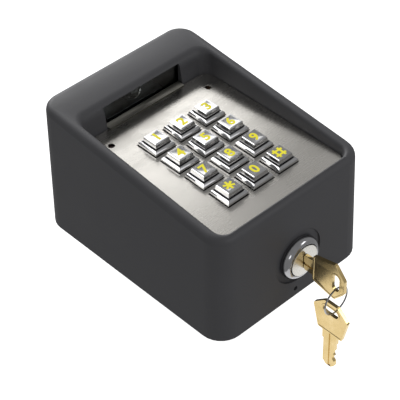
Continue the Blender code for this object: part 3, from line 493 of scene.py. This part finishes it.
# %% [markdown]
# ## Lock body
#
# The bezel is a dome of bright chrome, and behind it runs a barrel with a fine thread for its nut.
# One closed outline makes both: in through the mouth and the bore, back along the barrel with a
# tooth for each thread, and over the dome. A screw modifier would make a true helix. Rings stand in
# for it, because the pitch is too fine to tell them apart and they close without a run-out.

# %% Bezel and threaded barrel
low, high, middle = span("lock_body")
DOME, MOUTH, BORE, BARREL, FLANGE = 4.9 * MM, 9.5 * MM, 7.3 * MM, 11.0 * MM, 12.7 * MM
MOUTH_ROUND, MOUTH_FLOOR, FLANGE_EDGE = 0.3 * MM, 0.6 * MM, 0.8 * MM
LIP, DOME_STEPS = 0.2 * MM, 14
THREAD_PITCH, THREAD_DEEP, THREAD_STOP = 1.0 * MM, 0.4 * MM, 2.5 * MM
flange_y = low.y + DOME
shoulder, mouth_floor = flange_y - FLANGE_EDGE, flange_y - MOUTH_FLOOR
outline = [(MOUTH, low.y + MOUTH_ROUND), (MOUTH, mouth_floor), (BORE, mouth_floor)]
outline += [(BORE, high.y), (BARREL - THREAD_DEEP, high.y)]
place = high.y - THREAD_PITCH / 2
while place > flange_y + THREAD_STOP:
    outline += [(BARREL, place), (BARREL - THREAD_DEEP, place - THREAD_PITCH / 2)]
    place -= THREAD_PITCH
outline += [(BARREL, place), (BARREL, flange_y), (FLANGE, flange_y)]
for step in range(DOME_STEPS + 1):
    angle = math.radians(90 * step / DOME_STEPS)
    radius = MOUTH + LIP + (FLANGE - MOUTH - LIP) * math.cos(angle)
    outline.append((radius, shoulder - (shoulder - low.y) * math.sin(angle)))
outline.append(outline[0])
stand_for("lock_body", turned(outline, middle, (0, 1, 0), 72), bezel_chrome, 40)
print("lock barrel, threads:", round((high.y - flange_y) / THREAD_PITCH))

# %% [markdown]
# ## Courtesy lamp
#
# A small push-in glass lamp looks out through the window. Its envelope is blown round at the nose
# and pinched at the neck, so it is turned from a quarter circle and three points. It is left solid,
# because a thin wall would only add reflections too small to see.

# %% Lamp envelope
low, high, middle = span("lamp_bulb")
bulb_radius = (high.z - low.z) / 2
SHOULDER_PLACE, NECK_PLACE = 5.6 * MM, 8.2 * MM
NECK_RADIUS, FOOT_RADIUS, NOSE_STEPS = 3.4 * MM, 3.2 * MM, 10
outline = [(0, low.y)]
for step in range(1, NOSE_STEPS + 1):
    angle = math.radians(90 * step / NOSE_STEPS)
    outline.append((bulb_radius * math.sin(angle), low.y + bulb_radius * (1 - math.cos(angle))))
outline += [(bulb_radius, low.y + SHOULDER_PLACE), (NECK_RADIUS, low.y + NECK_PLACE)]
outline += [(FOOT_RADIUS, high.y), (0, high.y)]
stand_for("lamp_bulb", turned(outline, middle, (0, 1, 0)), bulb_glass, 50)
print("lamp, mm across:", round(2 * bulb_radius / MM, 1))

# %% [markdown]
# ## Filament
#
# The glint in the lamp is its filament, a thin wire wound to a coil. A curve with a bevel could
# make it. Spinning a small circle while it moves along the coil's axis makes it in one step, and
# its two ends are then closed.

# %% Coiled filament
FILAMENT_RADIUS, FILAMENT_WIRE, FILAMENT_TURNS = 0.5 * MM, 0.12 * MM, 5
FILAMENT_LONG, FILAMENT_PLACE, COIL_STEPS = 3.0 * MM, 3.4 * MM, 16 * FILAMENT_TURNS
shape = bmesh.new()
bmesh.ops.create_circle(shape, segments=6, radius=FILAMENT_WIRE)
bmesh.ops.rotate(shape, matrix=Matrix.Rotation(math.radians(90), 3, "X"), verts=shape.verts)
coil_start = Vector((middle.x - FILAMENT_LONG / 2, low.y + FILAMENT_PLACE, middle.z))
bmesh.ops.translate(shape, vec=coil_start + Vector((0, 0, FILAMENT_RADIUS)), verts=shape.verts)
bmesh.ops.spin(
    shape,
    geom=shape.verts[:] + shape.edges[:],
    cent=coil_start,
    axis=(1, 0, 0),
    dvec=(FILAMENT_LONG / COIL_STEPS, 0, 0),
    angle=math.tau * FILAMENT_TURNS,
    steps=COIL_STEPS,
)
bmesh.ops.holes_fill(shape, edges=[edge for edge in shape.edges if edge.is_boundary], sides=0)
finish("lamp_filament", shape, zinc, body_of["lamp_bulb"], sharp=60)
print("filament, turns:", FILAMENT_TURNS)

# %% [markdown]
# ## Screws and buzzer
#
# These sit on the main board and show when the box is swung open. Each is round, so each is turned:
# a screw with a socket in its head, and the buzzer as a can with a sound hole. The screw's thread
# is left plain, because the standoff hides it.


# %% Board screws and buzzer
HEAD_HIGH, SOCKET_DEEP, SCREW_TIP = 2.2 * MM, 1.2 * MM, 0.8 * MM


def board_screw(node):
    """The head looks down. Its dome is a few points at shares of its radius."""
    low, high, middle = span(node)
    head = (high.x - low.x) / 2
    shank, shoulder, socket = head * 0.52, low.z + HEAD_HIGH, low.z + SOCKET_DEEP
    outline = [(0, socket), (head * 0.42, socket), (head * 0.5, low.z + 0.1 * MM)]
    outline += [(head * 0.8, low.z + 0.15 * MM), (head * 0.97, low.z + 0.8 * MM)]
    outline += [(head, shoulder), (shank, shoulder), (shank, high.z - SCREW_TIP)]
    outline += [(shank * 0.6, high.z), (0, high.z)]
    stand_for(node, turned(outline, middle, (0, 0, 1), 32), zinc, 40)


for number in range(1, 5):
    board_screw(f"board_screw_{number}")
SOUND_HOLE, HOLE_DEEP, CAN_ROUND = 1.2 * MM, 2 * MM, 1 * MM
low, high, middle = span("buzzer")
can = (high.x - low.x) / 2
outline = [(0, low.z + HOLE_DEEP), (SOUND_HOLE, low.z + HOLE_DEEP), (SOUND_HOLE, low.z + 0.2 * MM)]
outline += [(1.9 * MM, low.z), (can - CAN_ROUND, low.z), (can, low.z + CAN_ROUND)]
outline += [(can, high.z), (0, high.z)]
stand_for("buzzer", turned(outline, middle, (0, 0, 1)), black_plastic, 40)
print("buzzer, mm across:", round(2 * can / MM, 1))

# %% [markdown]
# ## Terminal block and board connector
#
# The terminal block is one long moulding with eight ways, each with a screw well and an entry for
# its wire. Eight blocks in a row would show the same. Cuts across a copy of the node keep it one
# piece, and an inset in every face that looks the right way sinks the wells. The connector is made
# the same way with shallow pockets, and the clamp screws are turned.


# %% Terminal block and board connector
def parted(node, ways):
    """A copy of a box-shaped node, cut across X into equal ways."""
    low, high, middle = span(node)
    shape = copy_of(node)
    for way in range(1, ways):
        cut(shape, (low.x + (high.x - low.x) * way / ways, 0, 0), Vector((1, 0, 0)))
    return shape


def sink(shape, facing, rim, depth):
    """Sinks a pocket in each face that looks this way, inside a rim."""
    faces = [face for face in shape.faces if face.normal.dot(Vector(facing)) > 0.9]
    bmesh.ops.inset_individual(shape, faces=faces, thickness=rim, depth=0)
    bmesh.ops.inset_individual(shape, faces=faces, thickness=DRAFT, depth=-depth)


WAYS, DRAFT = 8, 0.15 * MM
shape = parted("terminal_block", WAYS)
sink(shape, (0, 0, -1), 1.0 * MM, 2.0 * MM)
sink(shape, (0, -1, 0), 1.3 * MM, 3.0 * MM)
stand_for("terminal_block", shape, terminal_plastic, 30, 0.2 * MM)

low, high, middle = span("terminal_block")
pitch = (high.x - low.x) / WAYS
CLAMP_RADIUS, CLAMP_SOCKET = 1.9 * MM, 0.9 * MM
outline = [(0, low.z + 1.0 * MM), (CLAMP_SOCKET, low.z + 1.0 * MM), (CLAMP_SOCKET, low.z + 0.5 * MM)]
outline += [(1.5 * MM, low.z + 0.5 * MM), (CLAMP_RADIUS, low.z + 0.8 * MM)]
outline += [(CLAMP_RADIUS, low.z + 1.9 * MM), (0, low.z + 1.9 * MM)]
for way in range(WAYS):
    shape = turned(outline, (low.x + pitch * (way + 0.5), middle.y, 0), (0, 0, 1), 20)
    name, body = f"terminal_screw_{way + 1}", body_of["terminal_block"]
    finish(name, shape, zinc, body, sharp=40)

shape = parted("board_connector", WAYS)
sink(shape, (0, -1, 0), 0.5 * MM, 0.6 * MM)
sink(shape, (0, 1, 0), 0.5 * MM, 0.6 * MM)
stand_for("board_connector", shape, black_plastic, 30, 0.1 * MM)
print("terminal ways:", WAYS, "pitch in mm:", round(pitch / MM, 2))

# %% [markdown]
# ## Controller chip
#
# A controller chip fills the board between the relays. It is small and shut away, so it is a few
# boxes: a moulded body and two rows of legs. The legs are one piece with their own metal, because
# a piece has one material here.

# %% Chip and its legs
board_body, board_slot = body_of["main_board"], slot_of["buzzer"]
UNDER = span("main_board")[0].z - 0.3 * MM  # where the parts under the board start


def cuboid(shape, low, high):
    """Adds a box between two corners to a bmesh and returns its vertices."""
    verts = bmesh.ops.create_cube(shape, size=1.0)["verts"]
    bmesh.ops.scale(shape, vec=Vector(high) - Vector(low), verts=verts)
    bmesh.ops.translate(shape, vec=(Vector(low) + Vector(high)) / 2, verts=verts)
    return verts


CHIP_X, CHIP_Y, CHIP_HALF = 10.0 * MM, 22.0 * MM, 3.2 * MM
CHIP_FACE, CHIP_BACK = UNDER - 3.6 * MM, UNDER - 0.5 * MM
LEG_COUNT, LEG_HALF, LEG_GAP, LEG_OUT, LEG_TOP = 8, 0.4 * MM, 0.05 * MM, 0.5 * MM, 2.2 * MM
shape = bmesh.new()
cuboid(shape, (-CHIP_X, CHIP_Y - CHIP_HALF, CHIP_FACE), (CHIP_X, CHIP_Y + CHIP_HALF, CHIP_BACK))
finish("controller_chip", shape, black_plastic, board_body, bevel=0.3 * MM)
shape = bmesh.new()
for leg in range(LEG_COUNT):
    x = (leg - (LEG_COUNT - 1) / 2) * PIN_PITCH_MM * MM
    for side in (-1, 1):
        near, far = sorted((side * (CHIP_HALF + LEG_GAP), side * (CHIP_HALF + LEG_OUT)))
        first = (x - LEG_HALF, CHIP_Y + near, UNDER - LEG_TOP)
        cuboid(shape, first, (x + LEG_HALF, CHIP_Y + far, UNDER))
finish("controller_legs", shape, zinc, board_body)
print("chip legs:", 2 * LEG_COUNT)

# %% [markdown]
# ## Capacitors and resistors
#
# Two electrolytic capacitors stand beside the chip and a row of resistors lies in front of it. All
# are round, so all are turned: a can with the groove that is pressed round its foot, and a
# resistor's body with its end caps on a wire. The resistor is turned upright and then laid down.

# %% Capacitors and resistors
CAN_RADIUS, CAN_HEIGHT, CAN_Y = 3.6 * MM, 10.5 * MM, 24 * MM
for number, x in ((1, -37 * MM), (2, 37 * MM)):
    top = UNDER - CAN_HEIGHT
    outline = [(0, top + 0.1 * MM), (CAN_RADIUS * 0.8, top), (CAN_RADIUS, top + 0.5 * MM)]
    outline += [(CAN_RADIUS, UNDER - 2.4 * MM), (CAN_RADIUS * 0.9, UNDER - 1.9 * MM)]
    outline += [(CAN_RADIUS, UNDER - 1.4 * MM), (CAN_RADIUS, UNDER), (0, UNDER)]
    shape = turned(outline, (x, CAN_Y, 0), (0, 0, 1), 32)
    finish(f"capacitor_{number}", shape, black_plastic, board_body)

RESISTOR_COUNT, RESISTOR_START, RESISTOR_PITCH, RESISTOR_DROP = 5, -12 * MM, 3.6 * MM, 1.3 * MM
WIRE, BODY, CAP = 0.3 * MM, 0.9 * MM, 1.1 * MM
half = [(BODY, 1.7 * MM), (CAP, 1.9 * MM), (CAP, 2.9 * MM), (WIRE, 3 * MM), (WIRE, 5 * MM), (0, 5 * MM)]
outline = [(radius, -place) for radius, place in reversed(half)] + half
for number in range(RESISTOR_COUNT):
    shape = turned(outline, (0, 0, 0), (0, 0, 1), 16)
    bmesh.ops.rotate(shape, matrix=Matrix.Rotation(math.radians(90), 3, "Y"), verts=shape.verts)
    y = RESISTOR_START + number * RESISTOR_PITCH
    bmesh.ops.translate(shape, vec=(0, y, UNDER - RESISTOR_DROP), verts=shape.verts)
    finish(f"resistor_{number + 1}", shape, resistor_tan, board_body)
print("resistors:", RESISTOR_COUNT)

# %% [markdown]
# ## Light deflector
#
# A thin folded strip under the lamp window throws the courtesy light down on to the keys. The model
# gives it a safe thickness. The real sheet is thinner, and it could be folded anew from a profile,
# but a squeezed copy keeps the fold where it belongs: half as high above its lower face, and a
# fifth shorter towards the window, where it is fixed.

# %% Thin deflector
STRIP_DEEP, STRIP_HIGH = 0.8, 0.5  # shares of the model's size
shape = copy_of("lamp_deflector")
low, high, middle = span("lamp_deflector")
fixed_edge = Matrix.Translation((0, -high.y, -low.z))
bmesh.ops.scale(shape, vec=(1, STRIP_DEEP, STRIP_HIGH), verts=shape.verts, space=fixed_edge)
# The strip's steel carries painted shade from the hood above it.
stand_for("lamp_deflector", shape, hood_shaded_steel)
print("deflector, mm high:", round((high.z - low.z) * STRIP_HIGH / MM, 2))

# %% [markdown]
# ## Brass keys
#
# A cylinder key is stamped from 2 mm brass strip. The press coins the face of the bow a little
# below its rim, and a cutter mills a groove along each side of the blade. Cutting tools with a
# Boolean modifier would do, but the pockets are so shallow that insets are cleaner. Both are made
# on a copy of the node: a cut across the root of the bow parts it from the blade, an inset sinks
# the bow's faces, and two cuts along the blade bound the strip that sinks to make the groove.

# %% Coined bow and milled groove
BOW_LONG, GROOVE_WALL = 21.6 * MM, 0.05 * MM
RIM, COIN_WALL, COIN_DEEP = 0.8 * MM, 0.12 * MM, 0.22 * MM
GROOVE_FROM, GROOVE_TO, GROOVE_DEEP = -1.6 * MM, 0.2 * MM, 0.5 * MM


def brass_key(node, along):
    """along points from the blade to the bow, and the key is flat across X."""
    low, high, middle = span(node)
    along = Vector(along)
    across = along.cross(Vector((1, 0, 0)))
    shape = copy_of(node)
    bow_end = max(vert.co.dot(along) for vert in shape.verts)
    root = bow_end - BOW_LONG
    centre = middle.dot(across)
    cut(shape, along * root, along)
    for edge in (GROOVE_FROM, GROOVE_TO):
        blade = [face for face in shape.faces if face.calc_center_median().dot(along) < root]
        verts = {vert for face in blade for vert in face.verts}
        edges = {side for face in blade for side in face.edges}
        parts, place = [*verts, *edges, *blade], across * (centre + edge)
        bmesh.ops.bisect_plane(shape, geom=parts, dist=1e-7, plane_co=place, plane_no=across)
    sides = [face for face in shape.faces if abs(face.normal.x) > 0.9]
    bow = [face for face in sides if face.calc_center_median().dot(along) > root]
    groove = []
    for face in sides:
        spot = face.calc_center_median()
        if spot.dot(along) < root and GROOVE_FROM < spot.dot(across) - centre < GROOVE_TO:
            groove.append(face)
    pockets = ((bow, RIM, 0), (bow, COIN_WALL, COIN_DEEP), (groove, GROOVE_WALL, GROOVE_DEEP))
    for faces, width, deep in pockets:
        bmesh.ops.inset_region(shape, faces=faces, thickness=width, depth=-deep, use_even_offset=True)
    stand_for(node, shape, brass, 25, 0.05 * MM)


brass_key("lock_key", (0, -1, 0))
brass_key("spare_key", (0, 0, 1))
print("groove, mm wide:", round((GROOVE_TO - GROOVE_FROM) / MM, 1))

# %% [markdown]
# ## Split ring
#
# A split ring is two turns of flattened spring wire that lie against each other. One plain ring
# would look too heavy, so the ring is wound as the real one is: an oval section is spun twice round
# the ring's axis while it moves along it by one thickness of wire, and the two cut ends are closed.

# %% Split ring
RING_TURNS, RING_STEPS = 2, 112
WIRE_RADIAL, WIRE_AXIAL, RING_WIRE = 0.5 * MM, 0.26 * MM, 0.55 * MM
low, high, middle = span("key_ring")
ring_radius = (high.z - low.z) / 2 - RING_WIRE  # to the middle of the wire
shape = bmesh.new()
bmesh.ops.create_circle(shape, segments=10, radius=1.0)
bmesh.ops.scale(shape, vec=(WIRE_RADIAL, WIRE_AXIAL, 1), verts=shape.verts)
start = Vector((middle.x, low.y + WIRE_AXIAL, middle.z - ring_radius))
bmesh.ops.rotate(shape, matrix=Matrix.Rotation(math.radians(90), 3, "Y"), verts=shape.verts)
bmesh.ops.translate(shape, vec=start, verts=shape.verts)
climb = high.y - low.y - 2 * WIRE_AXIAL
bmesh.ops.spin(
    shape,
    geom=shape.verts[:] + shape.edges[:],
    cent=middle,
    axis=(0, 1, 0),
    dvec=(0, climb / RING_STEPS, 0),
    angle=math.tau * RING_TURNS,
    steps=RING_STEPS,
)
bmesh.ops.holes_fill(shape, edges=[edge for edge in shape.edges if edge.is_boundary], sides=0)
finish("split_ring", shape, ring_steel, body_of["key_ring"], ("key_ring",), 50)
print("split ring, mm across:", round(2 * (ring_radius + WIRE_RADIAL) / MM, 1))

# %% [markdown]
# ## Key caps
#
# A push key is a small zinc casting with satin chrome: a square foot, a shank, and a cap whose four
# sides lean in. Fingers want a hollow to rest in, so the top is dished by a tenth of a millimetre.
# It could be sculpted or cut with a sphere. The node has a flat top, and insets lower it in steps,
# which keeps the rim square. Smooth shading across them turns the steps into one soft hollow, and
# that is what bends the reflections in a chromed key.

# %% Dished key caps
DISH_RIM, DISH_STEP, DISH_FALL = 0.35 * MM, 1.3 * MM, 0.07 * MM
key_nodes = [node for node in nodes if node.startswith("key_") and node != "key_ring"]
for node in key_nodes:
    shape = copy_of(node)
    top = max(vert.co.z for vert in shape.verts)
    caps = [face for face in shape.faces if all(vert.co.z > top - 0.01 * MM for vert in face.verts)]
    for width, fall in ((DISH_RIM, 0.0), (DISH_STEP, DISH_FALL), (DISH_STEP, DISH_FALL / 2)):
        bmesh.ops.inset_region(shape, faces=caps, thickness=width, depth=-fall, use_even_offset=True)
    stand_for(node, shape, key_chrome, 12, 0.05 * MM)
print("key caps:", len(key_nodes))

# %% [markdown]
# ## Numerals
#
# Each key's numeral is engraved and filled with yellow enamel that stands level with the key's rim.
# A painted pattern in the material would need its own coordinates on every key, so the enamel is a
# thin slab of its own in the hollow. A text object gives the digits' clean outlines, and it becomes
# a mesh before it takes its place. The star and the hash are crossed bars, because those of the
# typeface are small and thin.

# %% Outlines of the symbols and digits
NUMERAL_HEIGHT, NUMERAL_BOLD, STROKE = 6.3 * MM, 0.03, 1.25 * MM
ENAMEL_DEEP, HASH_SPREAD, BAR_LIFT = 0.12 * MM, 1.6 * MM, 0.006 * MM
# a bar of a symbol: its length, how far it stands to one side, and its turn in degrees
SYMBOL_BARS = {
    "star": [(6.2 * MM, 0, 30), (6.2 * MM, 0, 90), (6.2 * MM, 0, 150)],
    "hash": [(6.6 * MM, side * HASH_SPREAD, turn) for side in (-1, 1) for turn in (0, 90)],
}


def symbol(bars):
    """Flat bars crossed over each other, each a few microns above the last."""
    shape = bmesh.new()
    for number, (length, aside, turn) in enumerate(bars):
        bar = bmesh.ops.create_grid(shape, x_segments=1, y_segments=1, size=0.5)["verts"]
        bmesh.ops.scale(shape, vec=(length, STROKE, 1), verts=bar)
        bmesh.ops.translate(shape, vec=(0, aside, number * BAR_LIFT), verts=bar)
        bmesh.ops.rotate(shape, matrix=Matrix.Rotation(math.radians(turn), 3, "Z"), verts=bar)
    return shape


def digit(label):
    """The flat outline of a digit at its real height, from a text object made a mesh."""
    text = bpy.data.curves.new("text", "FONT")
    text.body, text.offset, text.resolution_u = label, NUMERAL_BOLD, 6
    holder = bpy.data.objects.new("text", text)
    bpy.context.scene.collection.objects.link(holder)
    bpy.context.view_layer.update()
    solved = holder.evaluated_get(bpy.context.evaluated_depsgraph_get())
    mesh = bpy.data.meshes.new_from_object(solved)
    bpy.data.objects.remove(holder)
    shape = bmesh.new()
    shape.from_mesh(mesh)
    bmesh.ops.remove_doubles(shape, verts=shape.verts, dist=1e-4)
    flatten(shape)
    corners = [vert.co for vert in shape.verts]
    low = Vector((min(c.x for c in corners), min(c.y for c in corners), 0))
    high = Vector((max(c.x for c in corners), max(c.y for c in corners), 0))
    bmesh.ops.translate(shape, verts=shape.verts, vec=-(low + high) / 2)
    size = NUMERAL_HEIGHT / (high.y - low.y)
    bmesh.ops.scale(shape, vec=(size, size, 1), verts=shape.verts)
    return shape


print("bars of the hash:", len(SYMBOL_BARS["hash"]))


# %% Numerals on the keys
def numeral(node):
    """Lays a key's outline in its hollow and raises it to the rim."""
    low, high, middle = span(node)
    label = node.split("_")[1]
    shape = symbol(SYMBOL_BARS[label]) if label in SYMBOL_BARS else digit(label)
    bmesh.ops.translate(shape, verts=shape.verts, vec=(middle.x, middle.y, high.z - ENAMEL_DEEP))
    raised = bmesh.ops.extrude_face_region(shape, geom=shape.faces[:])
    lifted = [item for item in raised["geom"] if isinstance(item, bmesh.types.BMVert)]
    bmesh.ops.translate(shape, verts=lifted, vec=(0, 0, ENAMEL_DEEP))
    finish("numeral_" + label, shape, yellow, body_of[node], sharp=40)


for node in key_nodes:
    numeral(node)
print("numerals:", len(key_nodes))

# %% [markdown]
# ## Stage
#
# The reader stands a little above a light table, which shows as plain white. A white floor under
# lamps would do the same, but its glow would light the dark walls and mirror in the chrome, so this
# one glows for the camera only. A felt pad and its post carry the box and keep the world's light
# from the underside. The camera doesn't see them, and the keys hang free in front.


# %% Stage
def block(name, low, high, material):
    shape = bmesh.new()
    cuboid(shape, low, high)
    mesh = bpy.data.meshes.new(name)
    shape.to_mesh(mesh)
    shape.free()
    made = bpy.data.objects.new(name, mesh)
    mesh.materials.append(material)
    bpy.context.scene.collection.objects.link(made)
    return made


acrylic = {"Base Color": linear("#ffffff"), "Roughness": 0.9}
acrylic.update({"Emission Color": linear("#ffffff"), "Emission Strength": 1.0})
light_table = new_material("lit_white_acrylic", acrylic)[0]
felt = new_material("dark_felt", {"Base Color": linear("#202020"), "Roughness": 0.95})[0]
FLOOR_Z, FLOOR_HALF, FLOOR_THICK = -46 * MM, 4, 0.02
PAD_Z, PAD_TOP, POST = -19 * MM, -0.2 * MM, 8 * MM
PAD_X, PAD_FRONT, PAD_BACK = 46 * MM, -60 * MM, 62 * MM
floor_low = (-FLOOR_HALF, -FLOOR_HALF, FLOOR_Z - FLOOR_THICK)
floor = block("floor", floor_low, (FLOOR_HALF, FLOOR_HALF, FLOOR_Z), light_table)
floor.visible_diffuse = floor.visible_glossy = False
pad = block("pad", (-PAD_X, PAD_FRONT, PAD_Z), (PAD_X, PAD_BACK, PAD_TOP), felt)
post = block("post", (-POST, -POST, FLOOR_Z), (POST, POST, PAD_Z), felt)
pad.visible_camera = post.visible_camera = False
print("floor, mm below the box:", round(-FLOOR_Z / MM))

# %% [markdown]
# ## Lights
#
# A studio lights a coated box and bright metal in different ways: the box wants one soft light that
# shapes it, and a metal shows only what it mirrors. One set of lights could be made to do both, but
# each change for one would spoil the other. So each light is linked to the pieces it is set for,
# as a card is that is held close to one part. A black flag stands for the dark ceiling, which gives
# the chrome its contrast.


# %% Ways to set a light
STAGE_CENTRE = Vector((0, 0, 0.05))


def direction(azimuth, height):
    """A unit vector at an azimuth from +Y towards +X and a height, in degrees."""
    turn, rise = math.radians(azimuth), math.radians(height)
    level = math.cos(rise)
    return Vector((math.sin(turn) * level, math.cos(turn) * level, math.sin(rise)))


def area_light(name, azimuth, height, distance, size, power, only, centre=STAGE_CENTRE):
    """A soft light aimed at the centre. only is the collection of the pieces it lights."""
    light = bpy.data.lights.new(name, "AREA")
    light.shape = "RECTANGLE"
    light.size, light.size_y = size
    light.energy = power
    way = direction(azimuth, height)
    made = bpy.data.objects.new(name, light)
    made.location = Vector(centre) + way * distance
    made.rotation_euler = (-way).to_track_quat("-Z", "Y").to_euler()
    bpy.context.scene.collection.objects.link(made)
    made.light_linking.receiver_collection = only


def flag(name, azimuth, height, distance, size):
    """A black card that only reflections see."""
    way = direction(azimuth, height)
    half = Vector((size[0], size[1], 0.01)) / 2
    made = block(name, -half, half, felt)
    place = Matrix.Translation(STAGE_CENTRE + way * distance)
    made.matrix_world = place @ way.to_track_quat("Z", "Y").to_matrix().to_4x4()
    made.visible_camera = made.visible_diffuse = made.visible_shadow = False


def group(name, *starts):
    """A collection of the pieces whose names start in one of these ways."""
    made = bpy.data.collections.new(name)
    for piece in bpy.data.objects:
        if piece.name.startswith(starts):
            made.objects.link(piece)
    return made


print("lights aim at, mm:", [round(side / MM) for side in STAGE_CENTRE])

# %% Lights
face_metal = group("face_metal", "key_", "keypad_frame", "faceplate", "lamp_deflector")
coated = group("coated", "housing")
enamel = group("enamel", "numeral_", "lamp_deflector")
lock_metal = group("lock_metal", "lock_", "spare_", "split_", "key_ring")
# azimuth, height, distance in metres, size in metres, power in watts, pieces it lights
area_light("softbox_behind", 22, 28, 1.2, (0.8, 0.62), 11, coated)
area_light("card_behind", 22, 28, 1.2, (0.8, 0.62), 3.8, face_metal)
area_light("fill_front", 160, 35, 1.3, (0.8, 0.6), 3, coated)
area_light("card_above", 0, 80, 1.3, (0.8, 0.8), 9, enamel)
area_light("card_left", -55, 22, 1.2, (0.8, 0.9), 8, face_metal)
area_light("glint_right", 142, 32, 1.2, (0.4, 0.3), 1.6, lock_metal)
area_light("glint_left", -133, 17, 1.2, (0.3, 0.3), 0.9, lock_metal)
under_keys = (11 * MM, -67 * MM, 45 * MM)
area_light("card_below", 0, -90, 0.09, (0.142, 0.175), 0.068, lock_metal, under_keys)
flag("dark_ceiling", 10, 64, 0.9, (0.6, 0.5))
print("lights:", len(bpy.data.lights))

# %% [markdown]
# ## World
#
# A studio's walls are pale, and they fill the shadows evenly. A plain grey world stands for them,
# which is simpler than walls and has no corners to show in the chrome. The Standard view keeps the
# white of the table white.

# %% World
world = bpy.data.worlds.new("dim_studio")
world.use_nodes = True
world.node_tree.nodes["Background"].inputs["Color"].default_value = linear("#ffffff")
world.node_tree.nodes["Background"].inputs["Strength"].default_value = 0.42
bpy.context.scene.world = world
bpy.context.scene.view_settings.view_transform = "Standard"
print("world:", world.name)

# %% [markdown]
# ## Camera
#
# A long lens from the left front and well above shows the keys, the left wall and the lock wall.
# The camera could be turned by its angles, but its three axes as the columns of a matrix leave no
# doubt about their order: back from the target, right, and up, with a slight roll.

# %% Camera
AZIMUTH, ELEVATION, ROLL = math.radians(-42.34), math.radians(41.94), math.radians(-1.74)
TARGET, DISTANCE = Vector((2.931, 4.041, 18.554)) * MM, 841.7 * MM
level = math.cos(ELEVATION)
back = Vector((math.sin(AZIMUTH) * level, -math.cos(AZIMUTH) * level, math.sin(ELEVATION)))
right = (-back).cross(Vector((0, 0, 1))).normalized()
up = right.cross(-back)
camera_x = right * math.cos(ROLL) + up * math.sin(ROLL)
camera_y = up * math.cos(ROLL) - right * math.sin(ROLL)
lens = bpy.data.cameras.new("camera")
lens.lens, lens.sensor_width = 139.8, 36
camera = bpy.data.objects.new("camera", lens)
axes = Matrix((camera_x, camera_y, back)).transposed().to_4x4()
camera.matrix_world = Matrix.Translation(TARGET + back * DISTANCE) @ axes
bpy.context.scene.collection.objects.link(camera)
bpy.context.scene.camera = camera
print("lens, mm:", round(lens.lens, 1))
